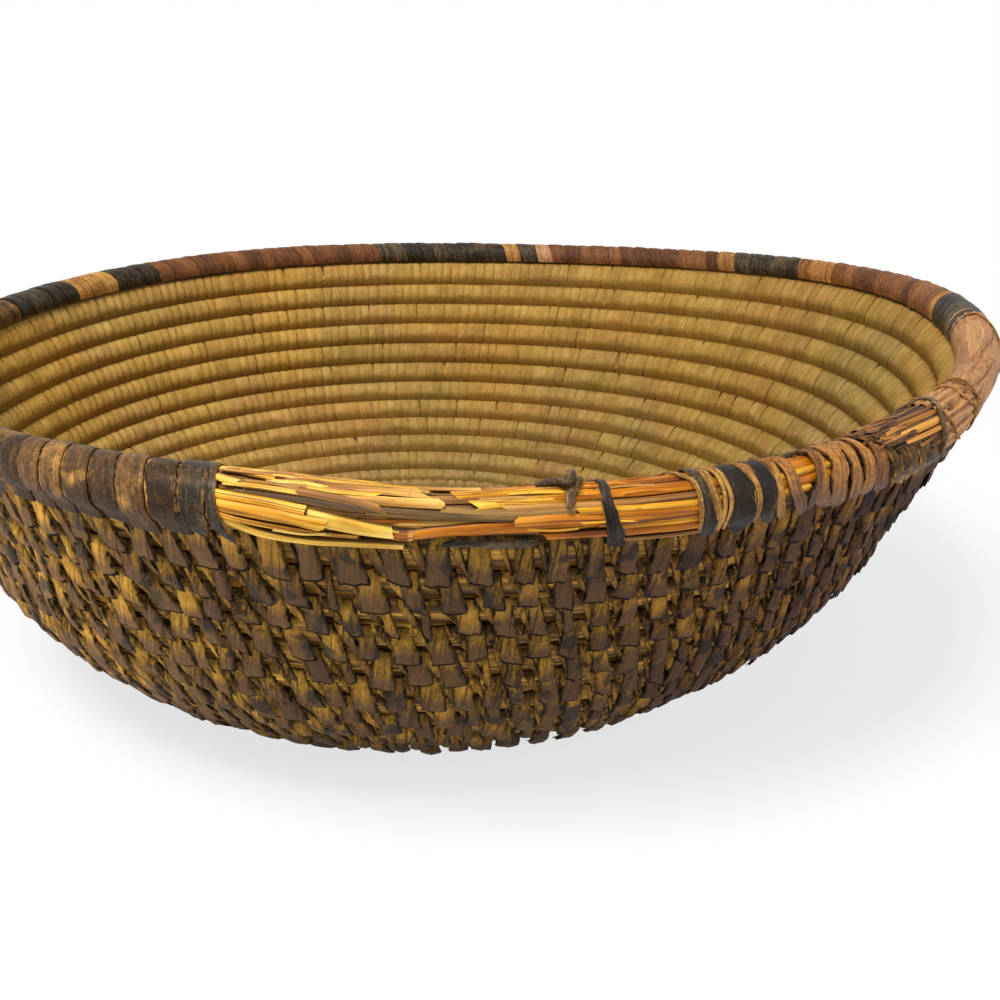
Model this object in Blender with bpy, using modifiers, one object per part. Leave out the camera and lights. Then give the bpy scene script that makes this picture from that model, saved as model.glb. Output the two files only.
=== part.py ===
"""A coiled basket: a straw cord wound from a knot into a flat base and a flared wall, under a bound rim.

Frame: metres, +Z up, the table at z = 0 and the origin in the middle of the base. Azimuths are in degrees,
0 at the front (-Y) and growing towards the right (+X). The rim is worn: bare straw shows at the front, and
the bundle is broken and bare at the right.
"""
import math

import bmesh
import bpy
import numpy as np
from mathutils import Matrix, Vector

MM = 0.001

# The basket's profile, followed by the middle of the cord
BASE_RADIUS = 92.0 * MM
HEEL_RADIUS = 106.3 * MM
HEEL_HEIGHT = 12.0 * MM
BELLY_RADIUS = 125.6 * MM
BELLY_HEIGHT = 33.0 * MM
SHOULDER_RADIUS = 137.5 * MM
SHOULDER_HEIGHT = 58.5 * MM
RIM_RADIUS = 149.8 * MM
RIM_HEIGHT = 85.9 * MM

# How far handling has pushed the rim out of round, off level and off the middle of the base
RIM_OVAL = 3.9 * MM
RIM_DEEP = 1.1 * MM
RIM_TRILOBE = 1.2 * MM
RIM_TRILOBE_SIDE = 0.8 * MM
RIM_TIP_BACK = 3.5 * MM
RIM_TIP_SIDE = 3.5 * MM
RIM_SADDLE = 1.4 * MM
RIM_TWIST = 0.4 * MM
RIM_WAVE = 0.5 * MM
RIM_WAVE_SIDE = 1.3 * MM
RIM_SHIFT_SIDE = 11.9 * MM
RIM_SHIFT_BACK = 1.5 * MM

# The cord and the knot that it starts from
CORD_DIAMETER = 7.0 * MM
CORD_GAP = 1.0 * MM
WALL_GAP = 1.0 * MM
KNOT_RADIUS = 6.0 * MM
KNOT_HEIGHT = 6.6 * MM
KNOT_EDGE = 2.2 * MM
KNOT_CROWN = 0.45 * MM
KNOT_FOOT = 1.1 * MM
KNOT_CLEARANCE = 0.3 * MM
FIRST_TAPER = 0.25
WALL_TAIL_SPAN = 55.0
TAIL_THINNED = 0.75

# The rim bundle and its splint wrapping
WRAPPED_DIAMETER = 9.9 * MM
WRAP_THICKNESS = 0.6 * MM
WRAP_CLEARANCE = 0.8 * MM
STRAW_CORE_DIAMETER = 4.8 * MM
BARK_DIAMETER = 9.2 * MM
RIM_CLEARANCE = 0.5 * MM

# Bare straw, broken straw and lashings on the rim
STALK_DIAMETER = 1.9 * MM
STALK_CLEARANCE = 0.4 * MM
SPLINTER_DIAMETER = 1.6 * MM
SPLINTER_LIFT = 1.2 * MM
LASHING_DIAMETER = 1.2 * MM
TWINE_DIAMETER = 0.9 * MM
LASHING_CLEARANCE = 0.3 * MM
END_GAP = 0.4 * MM

# A lashing is a hoop left open towards the wall's top row: middle and half width of the opening, in degrees
LASHING_OPEN_AT = 247.0
LASHING_OPEN_HALF = 52.0

# The loose end of a broken stalk: the share of its length that stands off, and how much thinner it ends
FREE_SHARE = 1 / 3
FREE_THINNED = 0.5

# Where the rim's parts begin and end, in degrees
CORD_START = -98.0
RIM_SEAM = -75.0
STRAW_FROM = -14.6
STRAW_TO = 21.6
BROKEN_FROM = 36.5
BROKEN_TO = 54.0
BARK_FROM = 56.0
BARK_TO = 88.0
CORE_STEP = 1.4
STALK_END = 0.4

# How finely the shapes are drawn
PROFILE_SAMPLES = 1200
POINTS_PER_LOOP = 24
POINTS_PER_RIM = 48
TAIL_POINTS = 6
LASHING_POINTS = 18
KNOT_ARC_STEPS = 5
CLOSEST_AZIMUTHS = 0.2
SHARP_EDGE = 65.0
WELD_DISTANCE = 0.01 * MM

# Colours of the weathered splints and straw
DARK_BROWN = (0.115, 0.062, 0.042)
RED_BROWN = (0.210, 0.085, 0.052)
BLACK = (0.032, 0.029, 0.027)
TAN = (0.420, 0.260, 0.120)
ORANGE_TAN = (0.380, 0.190, 0.075)
PINK_TAN = (0.400, 0.215, 0.140)
STRAW = (0.640, 0.380, 0.085)
STRAW_DARK = (0.400, 0.210, 0.060)
GOLDEN_COIL = (0.330, 0.200, 0.075)
OLIVE_COIL = (0.210, 0.135, 0.060)
BARK = (0.420, 0.230, 0.140)
ROUGHNESS = 0.6
DARK_STALK_EVERY = 3

# Radii that the lashings go round
STRAW_OUTER = STRAW_CORE_DIAMETER / 2 + STALK_CLEARANCE + STALK_DIAMETER
BROKEN_OUTER = STRAW_CORE_DIAMETER / 2 + STALK_CLEARANCE + SPLINTER_DIAMETER
BARK_OUTER = BARK_DIAMETER / 2

# Wrapped stretches of the rim: name, first and last azimuth, colour
BANDS = [
    ("band_brown_left", -96.0, -62.0, DARK_BROWN),
    ("band_black_side", -62.0, -54.0, BLACK),
    ("band_brown_front", -54.0, -17.0, DARK_BROWN),
    ("band_black_front", -17.0, STRAW_FROM, BLACK),
    ("band_black_right", STRAW_TO, 27.5, BLACK),
    ("band_tan_right", 27.5, BROKEN_FROM, ORANGE_TAN),
    ("band_black_end", BARK_TO, 98.8, BLACK),
    ("band_red_right", 98.8, 119.0, RED_BROWN),
    ("band_mixed_right", 119.0, 128.0, ORANGE_TAN),
    ("band_black_back_right", 128.0, 139.3, BLACK),
    ("band_tan_back", 139.3, 142.0, TAN),
    ("band_red_back", 142.0, 169.5, RED_BROWN),
    ("band_pink_back", 169.5, 172.0, PINK_TAN),
    ("band_black_patch", 172.0, 174.8, BLACK),
    ("band_tan_patch", 174.8, 177.2, TAN),
    ("band_black_back_left", 177.2, 198.2, BLACK),
    ("band_red_back_left", 198.2, 234.3, RED_BROWN),
    ("band_black_left_short", 234.3, 242.2, BLACK),
    ("band_tan_left", 242.2, 250.2, TAN),
    ("band_black_left", 250.2, 264.0, BLACK),
]

# Bare stalks round the thin core, the first on the outer side and the next ones going over the top:
# how many degrees each begins after the wrapping ends, and how many it stops short of the next wrapping
STALK_SPANS = [
    (0.0, 0.0),
    (0.0, 0.0),
    (5.8, 0.0),
    (0.0, 5.2),
    (0.0, 0.0),
    (2.2, 0.0),
    (0.0, 4.2),
    (0.0, 0.0),
    (0.0, 20.6),
    (0.0, 0.0),
]

# Broken stalks: place round the core, and how many degrees the free end lies beyond the wrapping
SPLINTERS = [
    (15.0, 1.1),
    (62.0, 4.0),
    (110.0, 1.9),
    (320.0, 4.5),
]

# Lashings: name, azimuth, slant along the rim over the loop, radius of what it holds, diameter, colour
LASHINGS = [
    ("lashing_knotted", 9.8, 0.6, STRAW_OUTER, LASHING_DIAMETER, BLACK),
    ("lashing_front", 12.9, 0.9, STRAW_OUTER, LASHING_DIAMETER, BLACK),
    ("lashing_edge", STRAW_TO - 0.9, 0.3, STRAW_OUTER, LASHING_DIAMETER, DARK_BROWN),
    ("lashing_twine_low", BROKEN_TO - 7.5, 3.0, BROKEN_OUTER, TWINE_DIAMETER, DARK_BROWN),
    ("lashing_twine_mid", BROKEN_TO - 4.0, -1.5, BROKEN_OUTER, TWINE_DIAMETER, TAN),
    ("lashing_twine_high", BARK_FROM + 0.8, 0.5, BARK_OUTER, TWINE_DIAMETER, DARK_BROWN),
]

CORD_RADIUS = CORD_DIAMETER / 2
SEAT_CUT = 0.1 * CORD_DIAMETER
CORD_SEAT = CORD_RADIUS - SEAT_CUT
CORD_PITCH = CORD_DIAMETER + CORD_GAP
WALL_PITCH = CORD_DIAMETER + WALL_GAP
FIRST_ROW = KNOT_RADIUS + KNOT_CLEARANCE + CORD_GAP + CORD_RADIUS
WRAPPED_CORE = WRAPPED_DIAMETER / 2 - WRAP_THICKNESS - WRAP_CLEARANCE
RIM_OUTER = max(WRAPPED_DIAMETER / 2, STRAW_OUTER, BARK_OUTER)
RIM_SPACING = RIM_OUTER + RIM_CLEARANCE + CORD_RADIUS
TAIL_SHARE = WALL_TAIL_SPAN / 360.0


def monotone_slopes(knots, values):
    """Slopes for a cubic that never swings past its points."""
    steps = np.diff(values) / np.diff(knots)
    inner = [0.0 if a * b <= 0 else 2 * a * b / (a + b) for a, b in zip(steps, steps[1:])]
    return np.array([steps[0], *inner, steps[-1]])


def smooth_curve(knots, values, at):
    """Values of the monotone cubic through the knots."""
    slopes = monotone_slopes(knots, values)
    index = np.clip(np.searchsorted(knots, at, side="right") - 1, 0, len(knots) - 2)
    width = knots[index + 1] - knots[index]
    t = (at - knots[index]) / width
    near = (1 + 2 * t) * (1 - t) ** 2 * values[index] + t * (1 - t) ** 2 * width * slopes[index]
    far = t * t * (3 - 2 * t) * values[index + 1] + t * t * (t - 1) * width * slopes[index + 1]
    return near + far


def make_profile():
    """Length, radius and height of the cord's middle line, from the middle of the base to the rim."""
    radii = np.array([0.0, BASE_RADIUS, HEEL_RADIUS, BELLY_RADIUS, SHOULDER_RADIUS, RIM_RADIUS])
    heights = np.array([CORD_SEAT, CORD_SEAT, HEEL_HEIGHT, BELLY_HEIGHT, SHOULDER_HEIGHT, RIM_HEIGHT])
    knots = np.concatenate([[0.0], np.cumsum(np.hypot(np.diff(radii), np.diff(heights)))])
    at = np.linspace(0.0, knots[-1], PROFILE_SAMPLES)
    radius = smooth_curve(knots, radii, at)
    height = smooth_curve(knots, heights, at)
    length = np.concatenate([[0.0], np.cumsum(np.hypot(np.diff(radius), np.diff(height)))])
    return length, radius, height


PROFILE_LENGTH, PROFILE_RADIUS, PROFILE_HEIGHT = make_profile()
RIM_ROW = PROFILE_LENGTH[-1]
TOP_ROW = RIM_ROW - RIM_SPACING
BASE_TURNS = 1 + int((BASE_RADIUS - FIRST_ROW) / CORD_PITCH)
WALL_START = FIRST_ROW + (BASE_TURNS - 1) * CORD_PITCH
WALL_TURNS = int((TOP_ROW - WALL_START) / WALL_PITCH)


def ease(share):
    """A smooth step from 0 to 1."""
    return share * share * (3 - 2 * share)


def place(row, azimuth, out=0.0, up=0.0):
    """The point at a length along the profile, pushed as the rim is, then moved out and up."""
    angle = math.radians(azimuth)
    height = float(np.interp(row, PROFILE_LENGTH, PROFILE_HEIGHT))
    radius = float(np.interp(row, PROFILE_LENGTH, PROFILE_RADIUS))
    share = (height - CORD_SEAT) / (RIM_HEIGHT - CORD_SEAT)
    bulge = RIM_DEEP * math.cos(2 * angle) - RIM_OVAL * math.sin(2 * angle)
    bulge += RIM_TRILOBE * math.cos(3 * angle) + RIM_TRILOBE_SIDE * math.sin(3 * angle)
    tip = RIM_TIP_SIDE * math.sin(angle) - RIM_TIP_BACK * math.cos(angle)
    warp = -RIM_SADDLE * math.cos(2 * angle) - RIM_TWIST * math.sin(2 * angle)
    warp += RIM_WAVE * math.cos(3 * angle) - RIM_WAVE_SIDE * math.sin(3 * angle)
    radius += share * bulge * radius / RIM_RADIUS + out
    height += share * (tip + warp) + up
    x = radius * math.sin(angle) + share * RIM_SHIFT_SIDE
    y = -radius * math.cos(angle) + share * RIM_SHIFT_BACK
    return Vector((x, y, height))


def highest_row(share):
    """Unsettled length of the wall's top row at a share of the turn; it drops where the tail runs out."""
    last = WALL_START + WALL_TURNS * WALL_PITCH
    if share >= TAIL_SHARE:
        return last - WALL_PITCH * (1 - share)
    return last - WALL_PITCH * (1 - TAIL_SHARE) * ease(share / TAIL_SHARE)


def wall_row(turns):
    """Length along the profile of the wall cord after some turns, spread evenly up to the top row."""
    raw = WALL_START + turns * WALL_PITCH
    top = highest_row(turns % 1.0)
    return WALL_START + (raw - WALL_START) * (TOP_ROW - WALL_START) / (top - WALL_START)


def turns_azimuth(turns):
    """Azimuth after some turns of the cord."""
    return CORD_START + 360.0 * turns


def base_row(turns):
    """Length along the profile of the base cord after its first turn."""
    return FIRST_ROW + CORD_PITCH * (turns - 1.0)


def cord_splice():
    """Where the base cord ends and the wall cord begins: the middle of a chord, with a gap between them."""
    turns = 1 / POINTS_PER_LOOP
    near = place(base_row(BASE_TURNS), turns_azimuth(BASE_TURNS))
    far = place(wall_row(turns), turns_azimuth(turns))
    half_gap = END_GAP / 2 / (far - near).length
    return near.lerp(far, 0.5 - half_gap), near.lerp(far, 0.5 + half_gap)


def base_path():
    """Points and radii of the base cord: it swells in its first turn, then runs at full size."""
    path = []
    for k in range(round(FIRST_TAPER * POINTS_PER_LOOP), BASE_TURNS * POINTS_PER_LOOP + 1):
        turns = k / POINTS_PER_LOOP
        size = CORD_RADIUS * min(turns, 1.0)
        if turns < 1.0:
            row = KNOT_RADIUS + KNOT_CLEARANCE + CORD_GAP * turns + size
        else:
            row = base_row(turns)
        seated = (size - SEAT_CUT * size / CORD_RADIUS) - CORD_SEAT
        path.append((place(row, turns_azimuth(turns), up=seated), size))
    path.append((cord_splice()[0], CORD_RADIUS))
    return path


def wall_path():
    """Points and radii of the wall cord: even rows, then a tail that thins out under the rim."""
    path = [(cord_splice()[1], CORD_RADIUS)]
    for k in range(1, WALL_TURNS * POINTS_PER_LOOP):
        turns = k / POINTS_PER_LOOP
        path.append((place(wall_row(turns), turns_azimuth(turns)), CORD_RADIUS))
    for k in range(TAIL_POINTS):
        thinned = TAIL_THINNED * k / (TAIL_POINTS - 1)
        share = TAIL_SHARE * thinned_share(thinned)
        size = CORD_RADIUS * (1 - thinned)
        path.append((place(TOP_ROW + CORD_RADIUS - size, turns_azimuth(share)), size))
    return path


def thinned_share(thinned):
    """The share of the tail's span at which the smooth step reaches a value."""
    shares = np.linspace(0.0, 1.0, PROFILE_SAMPLES)
    return float(np.interp(thinned, ease(shares), shares))


def least_gap(path, points_per_loop):
    """Least clear distance between points of a wound tube that lie half a loop or more apart."""
    points = np.array([tuple(point) for point, size in path])
    sizes = np.array([size for point, size in path])
    least = math.inf
    for k in range(points_per_loop // 2, len(path)):
        far = np.linalg.norm(points[k:] - points[:-k], axis=1)
        least = min(least, float((far - sizes[k:] - sizes[:-k]).min()))
    return least


def along_rim(azimuth, out=0.0, up=0.0):
    """A point on the rim's chords, so that all that is wound on the bundle bends where it does."""
    step = 360.0 / POINTS_PER_RIM
    low = math.floor(azimuth / step) * step
    near = place(RIM_ROW, low, out, up)
    far = place(RIM_ROW, low + step, out, up)
    return near.lerp(far, (azimuth - low) / step)


def rim_azimuths(first, last, extra=()):
    """The azimuths from first to last at which the rim's chords meet, with any others asked for."""
    step = 360.0 / POINTS_PER_RIM
    inner = [k * step for k in range(math.ceil(first / step), math.floor(last / step) + 1)]
    wanted = sorted([first, last, *extra, *inner])
    kept = [wanted[0]]
    for azimuth in wanted[1:]:
        if azimuth - kept[-1] > CLOSEST_AZIMUTHS:
            kept.append(azimuth)
    kept[-1] = last
    return kept


def degrees_along_rim(length):
    """The angle that a length along the rim covers."""
    return math.degrees(length / RIM_RADIUS)


def core_sizes():
    """Radii of the rim bundle along the rim: thin under bare straw, thick where its bark shows."""
    straw = STRAW_CORE_DIAMETER / 2
    places = [
        STRAW_FROM - CORE_STEP,
        STRAW_FROM,
        STRAW_TO,
        STRAW_TO + CORE_STEP,
        BROKEN_FROM - CORE_STEP,
        BROKEN_FROM,
        BROKEN_TO - CORE_STEP,
        BARK_FROM,
        BARK_TO - CORE_STEP,
        BARK_TO,
    ]
    sizes = [WRAPPED_CORE, straw, straw, WRAPPED_CORE, WRAPPED_CORE, straw, straw]
    return places, sizes + [BARK_OUTER, BARK_OUTER, WRAPPED_CORE]


def rim_path():
    """Points and radii of the rim bundle, one turn from seam to seam."""
    half_gap = degrees_along_rim(END_GAP / 2)
    places = core_sizes()[0]
    azimuths = rim_azimuths(RIM_SEAM + half_gap, RIM_SEAM + 360.0 - half_gap, places)
    return [(along_rim(azimuth), float(np.interp(azimuth, *core_sizes()))) for azimuth in azimuths]


def make_material(name, colour, roughness):
    """A plain dielectric finish."""
    material = bpy.data.materials.new(name)
    material.use_nodes = True
    shader = material.node_tree.nodes["Principled BSDF"]
    shader.inputs["Base Color"].default_value = (*colour, 1.0)
    shader.inputs["Roughness"].default_value = roughness
    shader.inputs["Metallic"].default_value = 0.0
    return material


def adopt(obj, collection, parent):
    """Put a part in the basket's collection and hang it on the basket's empty."""
    collection.objects.link(obj)
    obj.parent = parent


def make_tube(name, path, colour, resolution=1, twist="Z_UP"):
    """A round strand along a path of points and radii, with closed ends."""
    curve = bpy.data.curves.new(name, "CURVE")
    curve.dimensions = "3D"
    curve.twist_mode = twist
    curve.bevel_depth = 1.0
    curve.bevel_resolution = resolution
    curve.use_fill_caps = True
    spline = curve.splines.new("POLY")
    spline.points.add(len(path) - 1)
    for slot, (point, size) in zip(spline.points, path):
        slot.co = (*point, 1.0)
        slot.radius = size
    spline.use_smooth = True
    curve.materials.append(make_material(name, colour, ROUGHNESS))
    return bpy.data.objects.new(name, curve)


def make_cut_tube(name, path, colour, floor, collection, parent):
    """A strand with its underside cut flat by the floor cutter."""
    strand = make_tube(name + "_curve", path, colour)
    bpy.context.scene.collection.objects.link(strand)
    bpy.context.view_layer.update()
    evaluated = strand.evaluated_get(bpy.context.evaluated_depsgraph_get())
    mesh = bpy.data.meshes.new_from_object(evaluated)
    mesh.name = name
    weld(mesh)
    mesh.shade_smooth()
    mesh.set_sharp_from_angle(angle=math.radians(SHARP_EDGE))
    obj = bpy.data.objects.new(name, mesh)
    obj.matrix_world = strand.matrix_world
    bpy.data.objects.remove(strand)
    adopt(obj, collection, parent)
    cut = obj.modifiers.new("seat", "BOOLEAN")
    cut.operation = "DIFFERENCE"
    cut.solver = "EXACT"
    cut.object = floor


def weld(mesh):
    """Join a strand's caps to its side."""
    work = bmesh.new()
    work.from_mesh(mesh)
    bmesh.ops.remove_doubles(work, verts=work.verts, dist=WELD_DISTANCE)
    work.to_mesh(mesh)
    work.free()


def make_band(name, first, last, colour):
    """A stretch of splint wrapping: an open tube round the rim bundle, given the splint's thickness."""
    half_gap = degrees_along_rim(END_GAP / 2)
    azimuths = rim_azimuths(first + half_gap, last - half_gap)
    path = [(along_rim(azimuth), WRAPPED_DIAMETER / 2) for azimuth in azimuths]
    obj = make_tube(name, path, colour, resolution=2)
    obj.data.use_fill_caps = False
    wall = obj.modifiers.new("splint", "SOLIDIFY")
    wall.thickness = WRAP_THICKNESS
    wall.offset = -1.0
    wall.use_even_offset = True
    return obj


def make_stalk(name, place_round, first, last, colour, free_lift=0.0, diameter=STALK_DIAMETER):
    """A bare stalk beside the core; a free end is thin and stands off."""
    angle = math.radians(place_round)
    ring = STRAW_CORE_DIAMETER / 2 + STALK_CLEARANCE + diameter / 2
    free = FREE_SHARE * (last - first)
    path = []
    for azimuth in rim_azimuths(first, last, (first + free,)):
        loose = max(0.0, 1 - (azimuth - first) / free) if free_lift else 0.0
        reach = ring + free_lift * loose
        point = along_rim(azimuth, reach * math.cos(angle), reach * math.sin(angle))
        path.append((point, diameter / 2 * (1 - FREE_THINNED * loose)))
    return make_tube(name, path, colour)


def make_lashing(name, azimuth, slant, held_radius, diameter, colour):
    """A strand over the rim, open below, where the wall's top row runs."""
    reach = held_radius + LASHING_CLEARANCE + diameter / 2
    first = LASHING_OPEN_AT + LASHING_OPEN_HALF - 360.0
    last = LASHING_OPEN_AT - LASHING_OPEN_HALF
    path = []
    for k in range(LASHING_POINTS):
        share = k / (LASHING_POINTS - 1)
        angle = math.radians(first + share * (last - first))
        point = along_rim(azimuth + slant * (share - 0.5), reach * math.cos(angle), reach * math.sin(angle))
        path.append((point, diameter / 2))
    return make_tube(name, path, colour, twist="MINIMUM")


def make_knot(collection, parent):
    """The start of the cord: a small round knot, flat below, turned from its outline."""
    outline = [(0.0, KNOT_HEIGHT)]
    for k in range(KNOT_ARC_STEPS + 1):
        angle = math.pi / 2 * (1 - k / KNOT_ARC_STEPS)
        x = KNOT_RADIUS - KNOT_EDGE + KNOT_EDGE * math.cos(angle)
        z = KNOT_HEIGHT - KNOT_CROWN - KNOT_EDGE + KNOT_EDGE * math.sin(angle)
        outline.append((x, z))
    outline.append((KNOT_RADIUS, KNOT_FOOT))
    outline.append((KNOT_RADIUS - KNOT_FOOT, 0.0))
    outline.append((0.0, 0.0))
    mesh = bpy.data.meshes.new("start_knot")
    edges = [(k, k + 1) for k in range(len(outline) - 1)]
    mesh.from_pydata([(x, 0.0, z) for x, z in outline], edges, [])
    mesh.materials.append(make_material("start_knot", GOLDEN_COIL, ROUGHNESS))
    obj = bpy.data.objects.new("start_knot", mesh)
    adopt(obj, collection, parent)
    screw = obj.modifiers.new("turn", "SCREW")
    screw.steps = POINTS_PER_LOOP
    screw.render_steps = POINTS_PER_LOOP
    screw.use_merge_vertices = True
    screw.merge_threshold = WELD_DISTANCE
    screw.use_smooth_shade = True


def make_floor(cutters):
    """The table under the base, which flattens the cord's underside."""
    bpy.ops.mesh.primitive_cube_add(size=1.0)
    floor = bpy.context.object
    floor.name = "floor_cutter"
    depth = CORD_DIAMETER
    side = 3 * RIM_RADIUS
    floor.data.transform(scale_matrix(side, side, depth))
    floor.location = (0.0, 0.0, -depth / 2)
    floor.hide_render = True
    floor.display_type = "WIRE"
    for owner in list(floor.users_collection):
        owner.objects.unlink(floor)
    cutters.objects.link(floor)
    return floor


def scale_matrix(x, y, z):
    """A matrix that stretches a mesh along the axes."""
    return Matrix.Diagonal((x, y, z, 1.0))


def clear_scene():
    """Remove what the scene holds."""
    for obj in list(bpy.data.objects):
        bpy.data.objects.remove(obj)


def main():
    clear_scene()
    basket = bpy.data.collections.new("coiled_basket")
    cutters = bpy.data.collections.new("cutters")
    bpy.context.scene.collection.children.link(basket)
    bpy.context.scene.collection.children.link(cutters)
    parent = bpy.data.objects.new("basket", None)
    basket.objects.link(parent)
    floor = make_floor(cutters)

    make_knot(basket, parent)
    base = base_path()
    wall = wall_path()
    print("base cord: turns", BASE_TURNS, "least gap mm", round(least_gap(base, POINTS_PER_LOOP) / MM, 2))
    print("wall cord: turns", WALL_TURNS, "least gap mm", round(least_gap(wall, POINTS_PER_LOOP) / MM, 2))
    make_cut_tube("base_coil", base, GOLDEN_COIL, floor, basket, parent)
    make_cut_tube("wall_coil", wall, OLIVE_COIL, floor, basket, parent)

    adopt(make_tube("rim_bundle", rim_path(), BARK), basket, parent)
    for name, first, last, colour in BANDS:
        adopt(make_band(name, first, last, colour), basket, parent)
    for number, (late, short) in enumerate(STALK_SPANS, start=1):
        place_round = 360.0 * (number - 1) / len(STALK_SPANS)
        first = STRAW_FROM + STALK_END + late
        last = STRAW_TO - STALK_END - short
        colour = STRAW if number % DARK_STALK_EVERY else STRAW_DARK
        adopt(make_stalk("stalk_%02d" % number, place_round, first, last, colour), basket, parent)
    held_end = BROKEN_TO - CORE_STEP - STALK_END
    for number, (place_round, late) in enumerate(SPLINTERS, start=1):
        first = BROKEN_FROM + late
        name = "splinter_%02d" % number
        stalk = make_stalk(name, place_round, first, held_end, BARK, SPLINTER_LIFT, SPLINTER_DIAMETER)
        adopt(stalk, basket, parent)
    for name, azimuth, slant, held_radius, diameter, colour in LASHINGS:
        adopt(make_lashing(name, azimuth, slant, held_radius, diameter, colour), basket, parent)


main()
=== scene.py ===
"""The coiled basket as it looks: sewn rows, bound and broken rim, bare straw, on a pale floor.

Every piece lies on the basket's profile: a row is a length along it, and rise and face are small moves
along the profile towards the rim and out of the basket. Azimuths are in degrees, 0 at the front (-Y) and
growing towards the right (+X). A path over the rim lists azimuth, angle round the rim (0 outside, 90 on top,
180 inside), lift off the rim in mm and, for a flat splint or a strand, its half width or radius in mm.
"""
import math

import bpy
import numpy as np
from mathutils import Matrix, Vector


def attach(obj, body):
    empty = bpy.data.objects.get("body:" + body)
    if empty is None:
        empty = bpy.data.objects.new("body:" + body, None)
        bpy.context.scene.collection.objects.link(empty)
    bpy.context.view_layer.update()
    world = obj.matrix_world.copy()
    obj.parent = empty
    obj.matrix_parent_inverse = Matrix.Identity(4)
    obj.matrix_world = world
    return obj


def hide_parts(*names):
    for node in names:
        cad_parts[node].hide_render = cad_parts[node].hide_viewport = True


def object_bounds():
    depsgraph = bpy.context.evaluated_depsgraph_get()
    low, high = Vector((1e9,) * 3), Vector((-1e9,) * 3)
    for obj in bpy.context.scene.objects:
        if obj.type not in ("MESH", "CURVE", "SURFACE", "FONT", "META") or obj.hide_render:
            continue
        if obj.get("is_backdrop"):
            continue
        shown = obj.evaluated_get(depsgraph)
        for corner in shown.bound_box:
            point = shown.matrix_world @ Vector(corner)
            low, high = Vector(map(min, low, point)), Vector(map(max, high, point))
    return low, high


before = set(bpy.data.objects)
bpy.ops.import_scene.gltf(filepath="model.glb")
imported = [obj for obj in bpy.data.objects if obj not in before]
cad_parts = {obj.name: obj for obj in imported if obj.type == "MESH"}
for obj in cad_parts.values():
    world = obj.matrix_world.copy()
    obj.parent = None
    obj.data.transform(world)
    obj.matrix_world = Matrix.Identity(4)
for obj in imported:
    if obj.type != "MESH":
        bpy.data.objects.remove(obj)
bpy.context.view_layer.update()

MM = 0.001
TURN = 2 * math.pi
SEED = 11

# The basket's profile and the rows of its cord, as in the part
BASE_RADIUS = 92 * MM
HEEL_RADIUS = 106.3 * MM
HEEL_HEIGHT = 12 * MM
BELLY_RADIUS = 125.6 * MM
BELLY_HEIGHT = 33 * MM
SHOULDER_RADIUS = 137.5 * MM
SHOULDER_HEIGHT = 58.5 * MM
RIM_RADIUS = 149.8 * MM
RIM_HEIGHT = 85.9 * MM
RIM_OVAL = 3.9 * MM
RIM_DEEP = 1.1 * MM
RIM_TRILOBE = 1.2 * MM
RIM_TRILOBE_SIDE = 0.8 * MM
RIM_TIP_BACK = 3.5 * MM
RIM_TIP_SIDE = 3.5 * MM
RIM_SADDLE = 1.4 * MM
RIM_TWIST = 0.4 * MM
RIM_WAVE = 0.5 * MM
RIM_WAVE_SIDE = 1.3 * MM
RIM_SHIFT_SIDE = 11.9 * MM
RIM_SHIFT_BACK = 1.5 * MM
CORD_RADIUS = 3.5 * MM
CORD_SEAT = 0.8 * CORD_RADIUS
CORD_PITCH = 8 * MM
WALL_PITCH = 8 * MM
KNOT_RADIUS = 6 * MM
FIRST_ROW = KNOT_RADIUS + 1.3 * MM + CORD_RADIUS
RIM_SPACING = 8.95 * MM
CORD_START = -98
TAIL_SHARE = 55 / 360
PROFILE_SAMPLES = 1200
PITCH_RANGE = (7.9 * MM, 8.6 * MM)

# Rows of stitches: where the first ones lie (turns), their spacing, and the stems of straw inside them
FIRST_STITCHES = (0.45, 1.55)
STITCH_SPACING = 6.1 * MM
WIDEST_GAP = 1.4
FOUNDATION_RADIUS = 3.35 * MM
FOUNDATION_STEP = 0.008
FIRST_TURN = 0.25
STEMS = 7
STEM_SIDES = 4
WEDGES = 16
SPLINT_THICKNESS = 0.7 * MM

# Outer stitch: places down it as shares of the row's pitch, and how far (mm) it stands out
TAG_TOP = 0.43
TAG_END = -0.6
LEG_END = -0.47
NARROW_TAGS = 0.1
TAG_PLACES = [0, 0.2, 0.45, 0.7, 0.92, 1]
TAG_FACES = [2.4, 3.3, 4, 4.55, 4.95, 4.95]
LEG_FACES = [2.3, 3.2, 3.65, 3.85, 3.8, 3.5]
# The sides and the lip below a tag's end turn down this far (mm); both are painted near-black as shade in the
# slits and under the ends
SIDE_DROP = 0.55 * MM
SHADOW_LEDGE_DROP = 0.5 * MM
SHADOW_LEDGE_LENGTH = 1.15 * MM

# Inner stitch: how far it stands in on its crest and between the rows, and from what width it is two beads
BEAD_FACE = 3.4 * MM
BEAD_GROOVE = 2.1 * MM
BEAD_CROWN = 1.05 * MM
WIDE_BEAD = 6.3 * MM

# The rim's outer radius (mm) by azimuth: it swells at the bare straw and at the broken end
SWELL_AZIMUTHS = [-60, -40, -34, -22, -15, -10, -7, -5, -2, 1, 5, 12, 18, 24, 30, 36, 40, 48, 54, 60, 74, 86,
    98, 112]
SWELL_RADII = [5, 5, 5.1, 6, 6.2, 6, 5.8, 5.4, 5, 4.8, 4.7, 5, 5.4, 5.3, 5.2, 5.4, 6, 6.1, 5.4, 5, 5.6, 6,
    5.8, 5]

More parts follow.
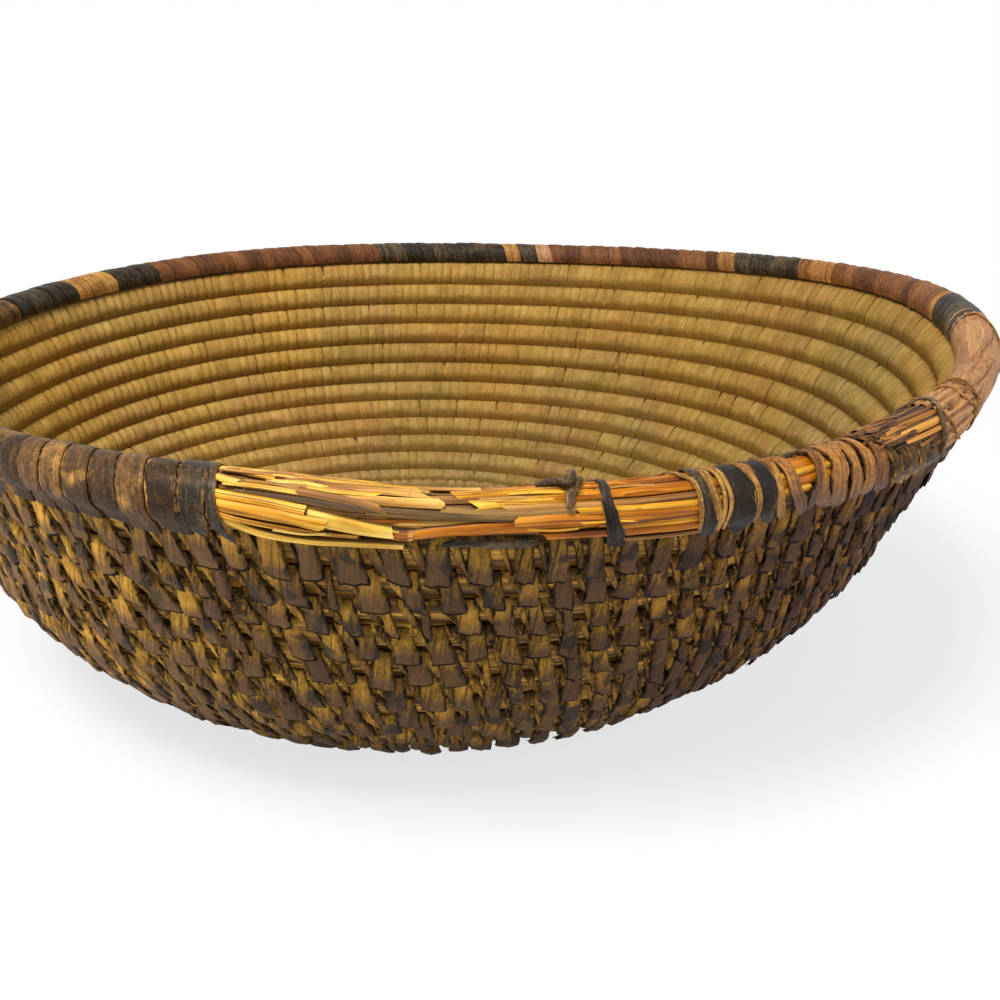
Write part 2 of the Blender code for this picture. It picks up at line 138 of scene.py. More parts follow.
# Wrapped splints: how they lean, as a turn (degrees) by the angle round the rim, and their cut ends and seams
LEAN_ANGLES = [-50, 0, 28, 72, 117, 134, 180, 224]
LEAN_TURNS = [0.15, 0, 0, -0.4, -1.2, -1.45, -2, -2.4]
END_FACE = 5 * MM
CUT_SLANT = 0.8
WORN_SEAMS = 0.9
SEAM_SPACING = 2.3
BACK_ANCHOR = 95
PATH_STEPS = 40
RIBBON_ACROSS = np.array([-1, -1, -0.84, -0.4, 0, 0.4, 0.84, 1, 1])
SHARP_ANGLE = math.radians(50)

# Straws: the length of a step (degrees), how many fine ones lie between those of the photograph, and the
# broken ones at the right, which start further along (degrees) the lower they lie
STEM_STEP = 0.4
FINE_STRAWS = 44
LEFT_STRAWS = 26
LONG_SPLINTERS = 120
SHORT_SPLINTERS = 46
SPLINTER_ANGLES = [22, 45, 60, 75, 90, 130, 160]
SPLINTER_STARTS = [44, 41, 38.6, 36.4, 35.6, 37.2, 40.5]
SHORT_ANGLES = [58, 85, 112, 124]
SHORT_DELAYS = [2, 0.3, 0.2, 1.6]

# Golden splinters in front of them: start, angle, half width (mm) and tone, and the peeled strip of bark
GOLD_SPLINTERS = [(38.9, 72, 1, 0.95), (40.4, 55, 0.6, 0.7), (38.4, 92, 0.7, 0.5), (37.8, 104, 0.6, 0.3)]
BARK_PEEL = [(79.4, 132, 0.25, 0.3), (77, 130, 0.35, 1.9), (73, 128, 0.35, 2.2), (68, 128, 0.3, 1.3),
             (64.5, 130, 0.25, 0.2)]

# Colours of painted shade under the next stitch, and in a straw's hollow ends, clefts and buried underside,
# red, green and blue
SHADOW = (9, 6, 3)
HOLLOW_SHADE = (34, 22, 12)

# The photograph's view
CAMERA_PLACE = (0.02785, -0.34563, 0.1538)
CAMERA_YAW = -0.01137
CAMERA_PITCH = 0.34135
CAMERA_ROLL = 0.02189
CAMERA_LENS = 41.49
WORLD_LIGHT = 0.37


def smooth_curve(knots, values, at):
    """Values of a cubic through the knots that never swings past them."""
    steps = np.diff(values) / np.diff(knots)
    inner = [0 if a * b <= 0 else 2 * a * b / (a + b) for a, b in zip(steps, steps[1:])]
    slopes = np.array([steps[0], *inner, steps[-1]])
    index = np.clip(np.searchsorted(knots, at, side="right") - 1, 0, len(knots) - 2)
    width = knots[index + 1] - knots[index]
    t = (at - knots[index]) / width
    near = (1 + 2 * t) * (1 - t) ** 2 * values[index] + t * (1 - t) ** 2 * width * slopes[index]
    far = t * t * (3 - 2 * t) * values[index + 1] + t * t * (t - 1) * width * slopes[index + 1]
    return near + far


def run_along(x, y):
    """Length along a line of points, from its start."""
    return np.concatenate([[0], np.cumsum(np.hypot(np.diff(x), np.diff(y)))])


def make_profile():
    """Length, radius and height of the cord's middle line, from the middle of the base to the rim."""
    radii = np.array([0, BASE_RADIUS, HEEL_RADIUS, BELLY_RADIUS, SHOULDER_RADIUS, RIM_RADIUS])
    heights = np.array([CORD_SEAT, CORD_SEAT, HEEL_HEIGHT, BELLY_HEIGHT, SHOULDER_HEIGHT, RIM_HEIGHT])
    knots = run_along(radii, heights)
    at = np.linspace(0, knots[-1], PROFILE_SAMPLES)
    radius, height = smooth_curve(knots, radii, at), smooth_curve(knots, heights, at)
    return run_along(radius, height), radius, height


LENGTH, RADIUS, HEIGHT = make_profile()
RADIUS_SLOPE = np.gradient(RADIUS, LENGTH)
HEIGHT_SLOPE = np.gradient(HEIGHT, LENGTH)
RIM_ROW = LENGTH[-1]
TOP_ROW = RIM_ROW - RIM_SPACING
BASE_TURNS = 1 + int((BASE_RADIUS - FIRST_ROW) / CORD_PITCH)
WALL_START = FIRST_ROW + (BASE_TURNS - 1) * CORD_PITCH
WALL_TURNS = int((TOP_ROW - WALL_START) / WALL_PITCH)
WALL_END = WALL_START + WALL_TURNS * WALL_PITCH
ALL_TURNS = BASE_TURNS + WALL_TURNS
LAST_TURN = ALL_TURNS + 0.67 * TAIL_SHARE


def spot(row, azimuth, rise, face):
    """Points on the basket: the place of a row at an azimuth, moved along the profile and out of it."""
    row, azimuth, rise, face = np.broadcast_arrays(row, azimuth, rise, face)
    angle = np.radians(azimuth)
    curves = (RADIUS, HEIGHT, RADIUS_SLOPE, HEIGHT_SLOPE)
    radius, height, slope_out, slope_up = (np.interp(row, LENGTH, curve) for curve in curves)
    share = (height - CORD_SEAT) / (RIM_HEIGHT - CORD_SEAT)
    bulge = RIM_DEEP * np.cos(2 * angle) - RIM_OVAL * np.sin(2 * angle)
    bulge = bulge + RIM_TRILOBE * np.cos(3 * angle) + RIM_TRILOBE_SIDE * np.sin(3 * angle)
    tip = RIM_TIP_SIDE * np.sin(angle) - RIM_TIP_BACK * np.cos(angle)
    warp = -RIM_SADDLE * np.cos(2 * angle) - RIM_TWIST * np.sin(2 * angle)
    warp = warp + RIM_WAVE * np.cos(3 * angle) - RIM_WAVE_SIDE * np.sin(3 * angle)
    radius = radius + share * bulge * radius / RIM_RADIUS + rise * slope_out + face * slope_up
    height = height + share * (tip + warp) + rise * slope_up - face * slope_out
    x = radius * np.sin(angle) + share * RIM_SHIFT_SIDE
    y = -radius * np.cos(angle) + share * RIM_SHIFT_BACK
    return np.stack([x, y, height], -1)


def around(row):
    """Length of one turn of the cord at a row."""
    return TURN * np.interp(row, LENGTH, RADIUS)


def ease(share):
    """A smooth step from 0 to 1."""
    share = np.clip(share, 0, 1)
    return share * share * (3 - 2 * share)


def wall_row(turns):
    """Length along the profile of the wall cord, spread evenly up to the level top row."""
    share = turns % 1
    tail_top = WALL_END - WALL_PITCH * (1 - TAIL_SHARE) * ease(share / TAIL_SHARE)
    top = np.where(share >= TAIL_SHARE, WALL_END - WALL_PITCH * (1 - share), tail_top)
    raw = WALL_START + turns * WALL_PITCH
    return WALL_START + (raw - WALL_START) * (TOP_ROW - WALL_START) / (top - WALL_START)


def cord_at(turns):
    """Row and radius of the cord after some turns from the knot: base, wall, then the tail that thins out."""
    turns = np.asarray(turns, float)
    size = CORD_RADIUS * np.clip(turns, 0.05, 1)
    first = KNOT_RADIUS + 0.3 * MM + MM * turns + size
    row = np.where(turns < 1, first, FIRST_ROW + CORD_PITCH * (turns - 1))
    row = np.where(turns >= BASE_TURNS, wall_row(np.clip(turns - BASE_TURNS, 0, WALL_TURNS - 1e-6)), row)
    thin = CORD_RADIUS * (1 - ease((turns - ALL_TURNS) / TAIL_SHARE))
    size = np.where(turns >= ALL_TURNS, thin, size)
    row = np.where(turns >= ALL_TURNS, TOP_ROW + CORD_RADIUS - thin, row)
    return row, size


def row_pitch(turns):
    """Distance to the row below."""
    return np.clip(cord_at(turns)[0] - cord_at(turns - 1)[0], *PITCH_RANGE)


def turns_azimuth(turns):
    """Azimuth after some turns of the cord."""
    return CORD_START + 360 * np.asarray(turns)


def centred(azimuth):
    """The same azimuth between -180 and 180 degrees."""
    return (np.asarray(azimuth) + 180) % 360 - 180


def vector(*parts):
    """Stack arrays of any matching shapes as the parts of a vector."""
    return np.stack(np.broadcast_arrays(*parts), -1)


def circle(sides):
    """Angles of a round strand's sides."""
    return np.linspace(0, TURN, sides, endpoint=False)


def padded(count, extra=1):
    """Numbers of the points of a line, with both its ends repeated."""
    return np.clip(np.arange(-extra, count + extra), 0, count - 1)


def border(rows, columns):
    """A sheet of zeros with ones along its edges, where a splint turns down."""
    edge = np.ones((rows, columns))
    edge[1:-1, 1:-1] = 0
    return edge


def strip_sheets(rows, columns):
    """Shares along and across a strip, and its border, all with a repeated row and column at every edge."""
    along = np.linspace(0, 1, rows)[padded(rows)][:, None]
    return along, np.linspace(-1, 1, columns)[padded(columns)], border(rows + 2, columns + 2)


def each_of(dice, count):
    """A function that draws a value for each of some strips, to be spread over their rows and columns."""
    return lambda low, high: dice.uniform(low, high, count)[:, None, None]


def place_object(name, data):
    """Put an object with its data in the scene."""
    obj = bpy.data.objects.new(name, data)
    bpy.context.scene.collection.objects.link(obj)
    return obj


class Surface:
    """Points and faces of many strips and strands, with the lie of their fibres, for one mesh."""

    def __init__(self):
        self.points, self.faces, self.grain, self.shade = [], [], [], []
        self.count = 0

    def add(self, points, grain, shade, flip=False, closed=False):
        """Add sheets of rows by columns: the arrays' last axis is a vector, the one before it the columns."""
        points = points.reshape(-1, *points.shape[-3:])
        index = self.count + np.arange(points.size // 3).reshape(points.shape[:3])
        ahead = np.roll(index, -1, 2) if closed else index[:, :, 1:]
        here = index if closed else index[:, :, :-1]
        quads = np.stack([here[:, :-1], here[:, 1:], ahead[:, 1:], ahead[:, :-1]], -1)
        if flip:
            quads = quads[..., ::-1]
        self.faces += quads.reshape(-1, 4).tolist()
        if closed:
            for end in (index[:, 0], index[:, -1, ::-1]):
                self.faces += (end[:, ::-1] if flip else end).tolist()
        self.points.append(points.reshape(-1, 3))
        for values, layer in ((grain, self.grain), (shade, self.shade)):
            layer.append(np.broadcast_to(values, points.shape).reshape(-1, 3))
        self.count += points.size // 3
        return self

    def piece(self, name, material, slot, replaces=()):
        """Make the mesh, and let it ride on the basket."""
        mesh = bpy.data.meshes.new(name)
        mesh.from_pydata(np.concatenate(self.points).tolist(), [], self.faces)
        for label, values in (("grain", self.grain), ("shade", self.shade)):
            attribute = mesh.attributes.new(label, "FLOAT_VECTOR", "POINT")
            attribute.data.foreach_set("vector", np.concatenate(values).astype(np.float32).ravel())
        mesh.materials.append(material)
        mesh.shade_smooth()
        mesh.set_sharp_from_angle(angle=SHARP_ANGLE)
        obj = place_object(name, mesh)
        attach(obj, "root")
        if replaces:
            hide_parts(*replaces)


def ink(red, green, blue):
    """A colour as seen on a screen, 0 to 255, as linear light."""
    parts = []
    for share in (red / 255, green / 255, blue / 255):
        parts.append(share / 12.92 if share <= 0.04045 else ((share + 0.055) / 1.055) ** 2.4)
    return (*parts, 1)


class Nodes:
    """Short calls for building the nodes of a material or world."""

    def __init__(self, owner):
        owner.use_nodes = True
        self.owner, self.tree = owner, owner.node_tree

    def put(self, socket, value):
        """Link a socket or set a value."""
        if isinstance(value, bpy.types.NodeSocket):
            self.tree.links.new(value, socket)
        else:
            socket.default_value = value

    def node(self, kind, *inputs, named=None, **settings):
        """Add a node with its settings, link or set its inputs in order or by name, and give its outputs."""
        node = self.tree.nodes.new("ShaderNode" + kind)
        for key, value in settings.items():
            setattr(node, key, value)
        for key, value in [*enumerate(inputs), *(named or {}).items()]:
            self.put(node.inputs[key], value)
        return node.outputs

    def fill(self, node, inputs):
        """Link or set inputs of a node that is there from the start."""
        for key, value in inputs.items():
            self.put(self.tree.nodes[node].inputs[key], value)

    def attribute(self, name):
        return self.node("Attribute", attribute_name=name)["Vector"]

    def place(self):
        return self.node("TexCoord")["Object"]

    def split(self, value):
        return self.node("SeparateXYZ", value)[:3]

    def noise(self, at, scale, detail, roughness=0.55):
        inputs = {"Vector": at, "Scale": scale, "Detail": detail, "Roughness": roughness}
        return self.node("TexNoise", named=inputs)["Fac"]

    def drawn(self, at, scale, detail=2, roughness=0.55):
        """Noise with its own scale on each axis."""
        return self.noise(self.node("VectorMath", at, scale, operation="MULTIPLY")[0], 1, detail, roughness)

    def ramp(self, value, low, high, to_low=0, to_high=1):
        return self.node("MapRange", value, low, high, to_low, to_high)[0]

    def math(self, operation, a, b):
        return self.node("Math", a, b, operation=operation)[0]

    def plus(self, value, *ramps):
        """Add ramps to a value."""
        for ramp in ramps:
            value = self.math("ADD", value, self.ramp(*ramp))
        return value

    def mix(self, share, a, b, blend="MIX"):
        inputs = {"Factor": share, "A": a, "B": b}
        return self.node("Mix", named=inputs, data_type="RGBA", blend_type=blend)["Result"]

    def coats(self, colour, *coats):
        """Lay paints over a colour, each as far as its ramp says."""
        for paint, *ramp in coats:
            colour = self.mix(self.ramp(*ramp), colour, paint)
        return colour

    def finish(self, colour, roughness, shine, height, distance, strength):
        """Set the surface: colour, roughness, shine and a bump of some height."""
        bump = self.node("Bump", named={"Height": height, "Distance": distance, "Strength": strength})
        self.fill("Principled BSDF", {"Metallic": 0, "Specular IOR Level": shine, "Base Color": colour,
                                      "Roughness": roughness, "Normal": bump["Normal"]})
        return self.owner


def splint_material(name, dark, middle, light, tip, edge, gloss, tip_from=0.35, streaks=1, patches=0,
                    shine=0.25, relief=0.3, odd=None, rich=None, painted_under_shade=0, left=1, right=1, painted_glow=0,
                    clouds=(), low=None, tinge=None):
    """Split wood or root: fibres along the strip, blotches, a darker tip and marked edges.

    The tip colour is a worn tip, and on the inner beads painted shade in the grooves between rows. The edge
    colour is a worn edge on the wrapping, and painted shade in the outer tags' slits and under their ends,
    between the inner beads and at the edges of the orange wraps. Odd is a colour of stains on the tips and
    rich that of a few strips. A strip is darkened as painted shadow where it comes out from under the next.
    Left and right scale the colour as painted light and shade on the two sides of the basket, with more
    painted light at the far left.
    Clouds are large soft patches (scale, tint). Low is a tint near the floor and tinge one at the far right.
    """
    n = Nodes(bpy.data.materials.new(name))
    dark, middle, light, tip, edge = (ink(*colour) for colour in (dark, middle, light, tip, edge))
    grain = n.attribute("grain")
    tone, along, side = n.split(n.attribute("shade"))
    fibre = n.drawn(grain, (110, 2800, 2800), 4, 0.65)
    coarse = n.drawn(grain, (45, 1100, 1100))
    fleck = n.drawn(grain, (500, 900, 900))
    speck = n.noise(n.place(), 1500, 2)
    blotch = n.noise(n.place(), 95, 4)
    level = n.plus(
        n.math("MULTIPLY", tone, 0.5), (fibre, 0.3, 0.7, -0.3 * streaks, 0.38 * streaks),
        (coarse, 0.3, 0.7, -0.2 * streaks, 0.2 * streaks), (blotch, 0.3, 0.7, -0.05, 0.35),
        (fleck, 0.3, 0.7, -0.2, 0.2), (speck, 0.35, 0.65, -0.2 * streaks, 0.2 * streaks))
    colour = n.coats(dark, (middle, level, 0, 0.5), (light, level, 0.5, 1))
    if rich:
        colour = n.coats(colour, (ink(*rich), tone, 0.88, 0.95, 0, 0.5))
    # The tip colour: worn tips on most strips, and painted shade in the grooves between rows on the inner
    # beads.
    worn = n.plus(along, (blotch, 0.3, 0.7, -0.22, 0.22), (fibre, 0.3, 0.7, 0.1, -0.1))
    # The edge colour: a worn edge on the wrapping, pale on most splints and darker on some; painted shade in
    # the outer tags' slits and under their ends, between the inner beads and wedges, and at the orange wraps'
    # edges.
    wear_and_edge_shade = n.plus(side, (fleck, 0.3, 0.7, -0.35, 0.25))
    colour = n.coats(
        colour, (tip, worn, tip_from, tip_from + 0.4, 0, 0.85), (edge, wear_and_edge_shade, 0.7, 1.1, 0, 0.95))
    if odd:
        stain = n.ramp(n.noise(n.place(), 150, 2), 0.57, 0.63)
        colour = n.mix(n.math("MULTIPLY", stain, n.ramp(worn, 0.15, 0.45, 0.1, 0.8)), colour, ink(*odd))
    if patches:
        rub = n.ramp(n.drawn(n.place(), (130, 130, 170), 4, 0.65), 0.55, 0.68, 0, patches)
        colour = n.mix(n.math("MULTIPLY", rub, n.ramp(fibre, 0.35, 0.6)), colour, edge)
    colour = n.coats(
        colour, (dark, coarse, 0.3, 0.38, 0.7, 0), (dark, fibre, 0.3, 0.36, 0.6 * streaks, 0))
    # Painted shadow: a strip darkens where it comes out from under the next.
    if painted_under_shade:
        colour = n.coats(colour, (ink(*SHADOW), along, -0.1, 0.1, painted_under_shade, 0))
    # Painted light and shade: the colour is brighter on the left of the basket and darker on the right, with
    # extra painted light at the far left.
    if left != right:
        x = n.split(n.place())[0]
        painted_glow_at_far_left = n.ramp(x, -0.11, -0.01, 1 + painted_glow, 1)
        share = n.math("MULTIPLY", n.ramp(x, -0.12, 0.14, left, right), painted_glow_at_far_left)
        colour = n.mix(1, colour, n.node("CombineXYZ", share, share, share)[0], "MULTIPLY")
    if tinge:
        colour = n.mix(n.ramp(n.split(n.place())[0], 0.03, 0.12), colour, tinge, "MULTIPLY")
    for scale, tint in clouds:
        colour = n.mix(n.ramp(n.noise(n.place(), scale, 2), 0.46, 0.6), colour, tint, "MULTIPLY")
    if low:
        colour = n.mix(n.ramp(n.split(n.place())[2], 0.045, 0.005), colour, low, "MULTIPLY")
    roughness = n.ramp(speck, 0.55, 0.66, gloss + 0.16, gloss)
    height = n.math("ADD", n.math("ADD", fibre, n.math("MULTIPLY", fleck, 0.5)), coarse)
    return n.finish(colour, roughness, shine, height, relief * MM, 0.8)


def straw_material(name, dark, middle, light, gloss, plain=1):
    """Stems of straw: ribs along them, paler and darker lengths, brown specks, and painted shade in their
    hollow ends, clefts and buried undersides.
    """
    n = Nodes(bpy.data.materials.new(name))
    dark, middle, light = (ink(*colour) for colour in (dark, middle, light))
    grain = n.attribute("grain")
    tone, along, side = n.split(n.attribute("shade"))
    rib = n.drawn(grain, (25, 3600, 3600))
    band = n.drawn(grain, (18, 1300, 1300))
    stain = n.drawn(grain, (60, 500, 500), 4)
    speck = n.drawn(grain, (300, 1500, 1500))
    level = n.plus(
        n.math("MULTIPLY", tone, 0.6), (stain, 0.3, 0.7, -0.22, 0.42),
        (rib, 0.35, 0.65, -0.16 * plain, 0.16 * plain), (band, 0.35, 0.65, -0.22 * plain, 0.22 * plain))
    level = n.math("ADD", level, n.math("MULTIPLY", side, 0.28))
    # The last coat is painted shade: it darkens a straw's hollow ends, the clefts between stems and the
    # underside where a stem lies buried.
    colour = n.coats(
        dark, (middle, level, 0, 0.5), (light, level, 0.5, 1.1), (dark, speck, 0.63, 0.72, 0, 0.5),
        (dark, band, 0.31, 0.36, 0.6 * plain, 0), (dark, rib, 0.35, 0.41, 0.85 * plain, 0),
        (ink(*HOLLOW_SHADE), along, 0.35, 1, 0, 0.92))
    roughness = n.ramp(stain, 0.3, 0.7, gloss, gloss + 0.25)
    return n.finish(colour, roughness, 0.22, n.math("ADD", rib, band), 0.2 * plain * MM, 0.7)


def stitch_places(dice):
    """Turns and widths of the stitches along the whole cord, each between two of the turn before it."""
    places = list(np.arange(*FIRST_STITCHES, STITCH_SPACING / (TURN * (FIRST_ROW + CORD_PITCH / 2))))
    index = 0
    while True:
        middle = (places[index] + places[index + 1]) / 2 + 1
        if middle > LAST_TURN:
            break
        length = around(cord_at(middle)[0])
        gap = (places[index + 1] - places[index]) * length
        loose = dice.uniform(-0.07, 0.07, 2) * STITCH_SPACING / length
        if gap > WIDEST_GAP * STITCH_SPACING:
            quarter = gap / length / 4
            places += [middle - quarter + loose[0], middle + quarter + loose[1]]
        else:
            places.append(middle + loose[0])
        index += 1
    places = np.array(places)
    return places[1:-1], (places[2:] - places[:-2]) / 2


def foundation(name, first, last, material, replaces):
    """The straw bundle inside the stitches, pressed against its neighbours: its stems show outside."""
    turns = np.arange(first, last, FOUNDATION_STEP)
    row, size = cord_at(turns)
    outer = np.linspace(-math.pi / 2, math.pi / 2, STEMS * STEM_SIDES + 1)
    theta = np.concatenate([outer, np.linspace(math.pi / 2, 1.5 * math.pi, 9)[1:-1]])
    number = np.arange(len(theta))
    inside = number > STEMS * STEM_SIDES
    seam = number % STEM_SIDES == 0
    factor = (size / CORD_RADIUS)[:, None]
    lift = np.where(turns < 1, size - CORD_RADIUS, 0)[:, None]
    tall = 0.52 * np.where(turns < 1, 2 * FOUNDATION_RADIUS, row_pitch(turns))[:, None]
    face = FOUNDATION_RADIUS * (1 - 0.09 * seam * ~inside) * factor * np.cos(theta) - lift
    points = spot(row[:, None] + tall * factor * np.sin(theta), turns_azimuth(turns)[:, None], 0, face)
    run = np.cumsum(np.gradient(turns) * around(row))[:, None]
    grain = vector(run, FOUNDATION_RADIUS * np.cos(theta), FOUNDATION_RADIUS * np.sin(theta))
    tone = 0.5 + 0.5 * np.sin(np.floor((number + 1) / STEM_SIDES) * 2.4 + turns[:, None] * 5)
    # The seams between stems are darkened as painted shade in their clefts.
    shade = vector(tone, np.where(inside, 0.3, seam * 0.62), 0)
    Surface().add(points, grain, shade, closed=True, flip=True).piece(name, material, "straw", replaces)


def outer_tags(name, turns, widths, dice, material, leg=False):
    """The blunt-ended halves of the stitches outside, each over the row below, or the slanted legs beside."""
    along, across, down = strip_sheets(6, 3 if leg else 5)
    along, down = np.concatenate([along, along[-1:]]), np.concatenate([down, down[-1:]])
    # A last row hangs a lip below the end, coloured near-black: a painted shadow line where the tag overhangs
    # the row below.
    shadow_ledge = np.zeros(along.shape)
    shadow_ledge[-2:, 0] = [0.03, 1]
    drop = down * SIDE_DROP
    drop[-2:, 1:-1] = SHADOW_LEDGE_DROP
    each = each_of(dice, len(turns))
    middle, width = turns[:, None, None], widths[:, None, None]
    pitch = row_pitch(middle)
    length = around(cord_at(middle)[0])
    scale = np.clip(width * length / STITCH_SPACING, 0.6, 1.3)
    ridge = dice.uniform(-0.2, 0.2, (len(turns), 1, len(across))) * MM
    if leg:
        half = (0.95 - 0.3 * along) * each(0.6, 1.35) * MM * scale
        slide = (-0.76 + 0.6 * along) * STITCH_SPACING * scale + each(-0.3, 0.3) * MM
        faces = np.interp(along, TAG_PLACES, LEG_FACES) * MM + each(-0.2, 0.3) * MM
        top, end = TAG_TOP * each(0.85, 1.1), LEG_END * each(0.75, 1.15)
    else:
        half = (1.35 + 0.75 * along ** 0.8) * each(0.78, 1.15) * MM * scale
        half = half * np.where(each(0, 1) < NARROW_TAGS, 0.45, 1)
        left = np.exp(-((centred(turns_azimuth(middle)) + 50) / 34) ** 2)
        slide = (-0.5 + along) * each(0.5, 2.7) * MM * (1 + 2 * left)
        faces = np.interp(along, TAG_PLACES, TAG_FACES) * MM + each(-0.3, 0.45) * MM * along
        top, end = TAG_TOP * each(0.85, 1.1), TAG_END * each(0.78, 1.12)
    ragged = dice.uniform(-0.35, 0.35, ridge.shape) * MM * along ** 3
    top = top + 0.35 * (middle > LAST_TURN - 1)
    shadow_ledge = shadow_ledge * SHADOW_LEDGE_LENGTH * (0.35 if leg else 1)
    rise = (top + (end - top) * along) * pitch - shadow_ledge + across * each(-1.1, 0.4) * MM * along + ragged
    wander = each(-0.3, 0.3) * MM * np.sin(math.pi * along)
    sideways = slide + across * (half + 0.15 * MM * down) + wander
    crown = 0.3 * MM * (1 - across ** 2) + across * each(-0.3, 0.35) * MM + ridge
    at = middle + sideways / length
    rows, size = cord_at(at)
    factor = size / CORD_RADIUS
    points = spot(rows + rise * factor, turns_azimuth(at), 0, (faces + crown - drop) * factor)
    grain = vector(along * pitch, sideways, each(0, 10))
    # The sides and the lip take the near-black edge colour: painted shade in the slits beside each tag and a
    # painted shadow under its end. The start of along is painted shadow where the tag comes out from under
    # the row above.
    side = np.maximum(np.abs(across), down * np.where(np.abs(across) < 0.99, 1.5, 0.7))
    shade = vector(each(0, 1), along + each(-0.25, 0.35), side)
    Surface().add(points, grain, shade).piece(name, material, "olive_coil")


def inner_beads(name, turns, widths, dice, material):
    """The halves of the stitches inside: narrow crowned strips over each row, two where a stitch is wide."""
    wide = widths * around(cord_at(turns)[0]) > WIDE_BEAD
    step = widths[wide] / 4
    turns = np.concatenate([turns[~wide], turns[wide] - step, turns[wide] + step])
    widths = np.concatenate([widths[~wide], 2 * step, 2 * step])
    along, across, down = strip_sheets(6, 4)
    each = each_of(dice, len(turns))
    middle, width = turns[:, None, None], widths[:, None, None]
    length = around(cord_at(middle)[0])
    half = width * length * (0.48 + 0.05 * np.sin(math.pi * along)) * each(0.97, 1.07)
    angle = (0.5 - along) * math.radians(176)
    crest = BEAD_FACE + BEAD_CROWN * (1 - across ** 2) * np.sin(math.pi * along) + each(-0.2, 0.2) * MM
    depth = BEAD_GROOVE + (crest - BEAD_GROOVE) * np.cos(angle) - down * SPLINT_THICKNESS
    tall = 0.5 * row_pitch(middle) + 0.2 * MM - down * SPLINT_THICKNESS
    sideways = (0.5 - along) * each(0.8, 2.2) * MM + across * half
    at = middle + sideways / length
    rows, thick = cord_at(at)
    factor = thick / CORD_RADIUS
    top = 1.1 * MM * (middle > LAST_TURN - 1) * np.clip(np.sin(angle), 0, 1)
    points = spot(rows + (tall * np.sin(angle) * factor + top), turns_azimuth(at), 0, -depth * factor)
    grain = vector(along * 9 * MM, sideways, each(0, 10))
    # The second part paints shade towards the grooves between rows, most below the crest; the third paints
    # shade at the bead's sides, between neighbours.
    shade = vector(each(0.2, 0.8), np.clip(np.abs(2.3 * along - 0.85), 0, 1.2), np.abs(across) ** 1.5)
    Surface().add(points, grain, shade, flip=True).piece(name, material, "golden_coil")


def knot_rosette(dice, material):
    """The start of the coil: stitches that fan out from the middle of the base over a small knot."""
    along, across, down = strip_sheets(14, 3)
    each = each_of(dice, WEDGES)
    number = np.arange(WEDGES)[:, None, None]
    step = 0.2 * MM * (number % 2)
    turn = number * 360 / WEDGES + each(-4, 4)
    reach = np.sin(math.pi * along)
    radius = (KNOT_RADIUS + 1.9 * MM + step) * reach - down * 0.4 * MM * reach
    height = np.cos(math.pi * along) * (np.where(along < 0.5, 3.6 * MM, 2.7 * MM) + step)
    spread = across * 250 / WEDGES * (1 - 0.1 * across ** 2)
    seed = each(0, 10)
    grain = vector(along * 14 * MM, across * 1.2 * MM, seed)
    points = spot(radius, turn + spread + 30 * along, 0, -height)
    # The third part darkens each wedge's sides with the edge colour: painted shade between the wedges.
    surface = Surface().add(points, grain, vector(seed / 10, 0.3, np.abs(across)))
    surface.piece("start_rosette", material, "golden_coil", ["start_knot"])


def rim_radius(azimuth):
    """Outer radius of the rim, wrapped or bare."""
    return np.interp(centred(azimuth), SWELL_AZIMUTHS, SWELL_RADII) * MM


def on_rim(azimuth, angle, lift):
    """Points round the rim: angle 0 outside, 90 on top, 180 inside, lifted off its outer surface."""
    radius = rim_radius(azimuth) + lift
    turn = np.radians(angle)
    return spot(RIM_ROW, azimuth, radius * np.sin(turn), radius * np.cos(turn))


def degrees(length):
    """The turn round the basket that a length along the rim takes."""
    return np.degrees(length / RIM_RADIUS)


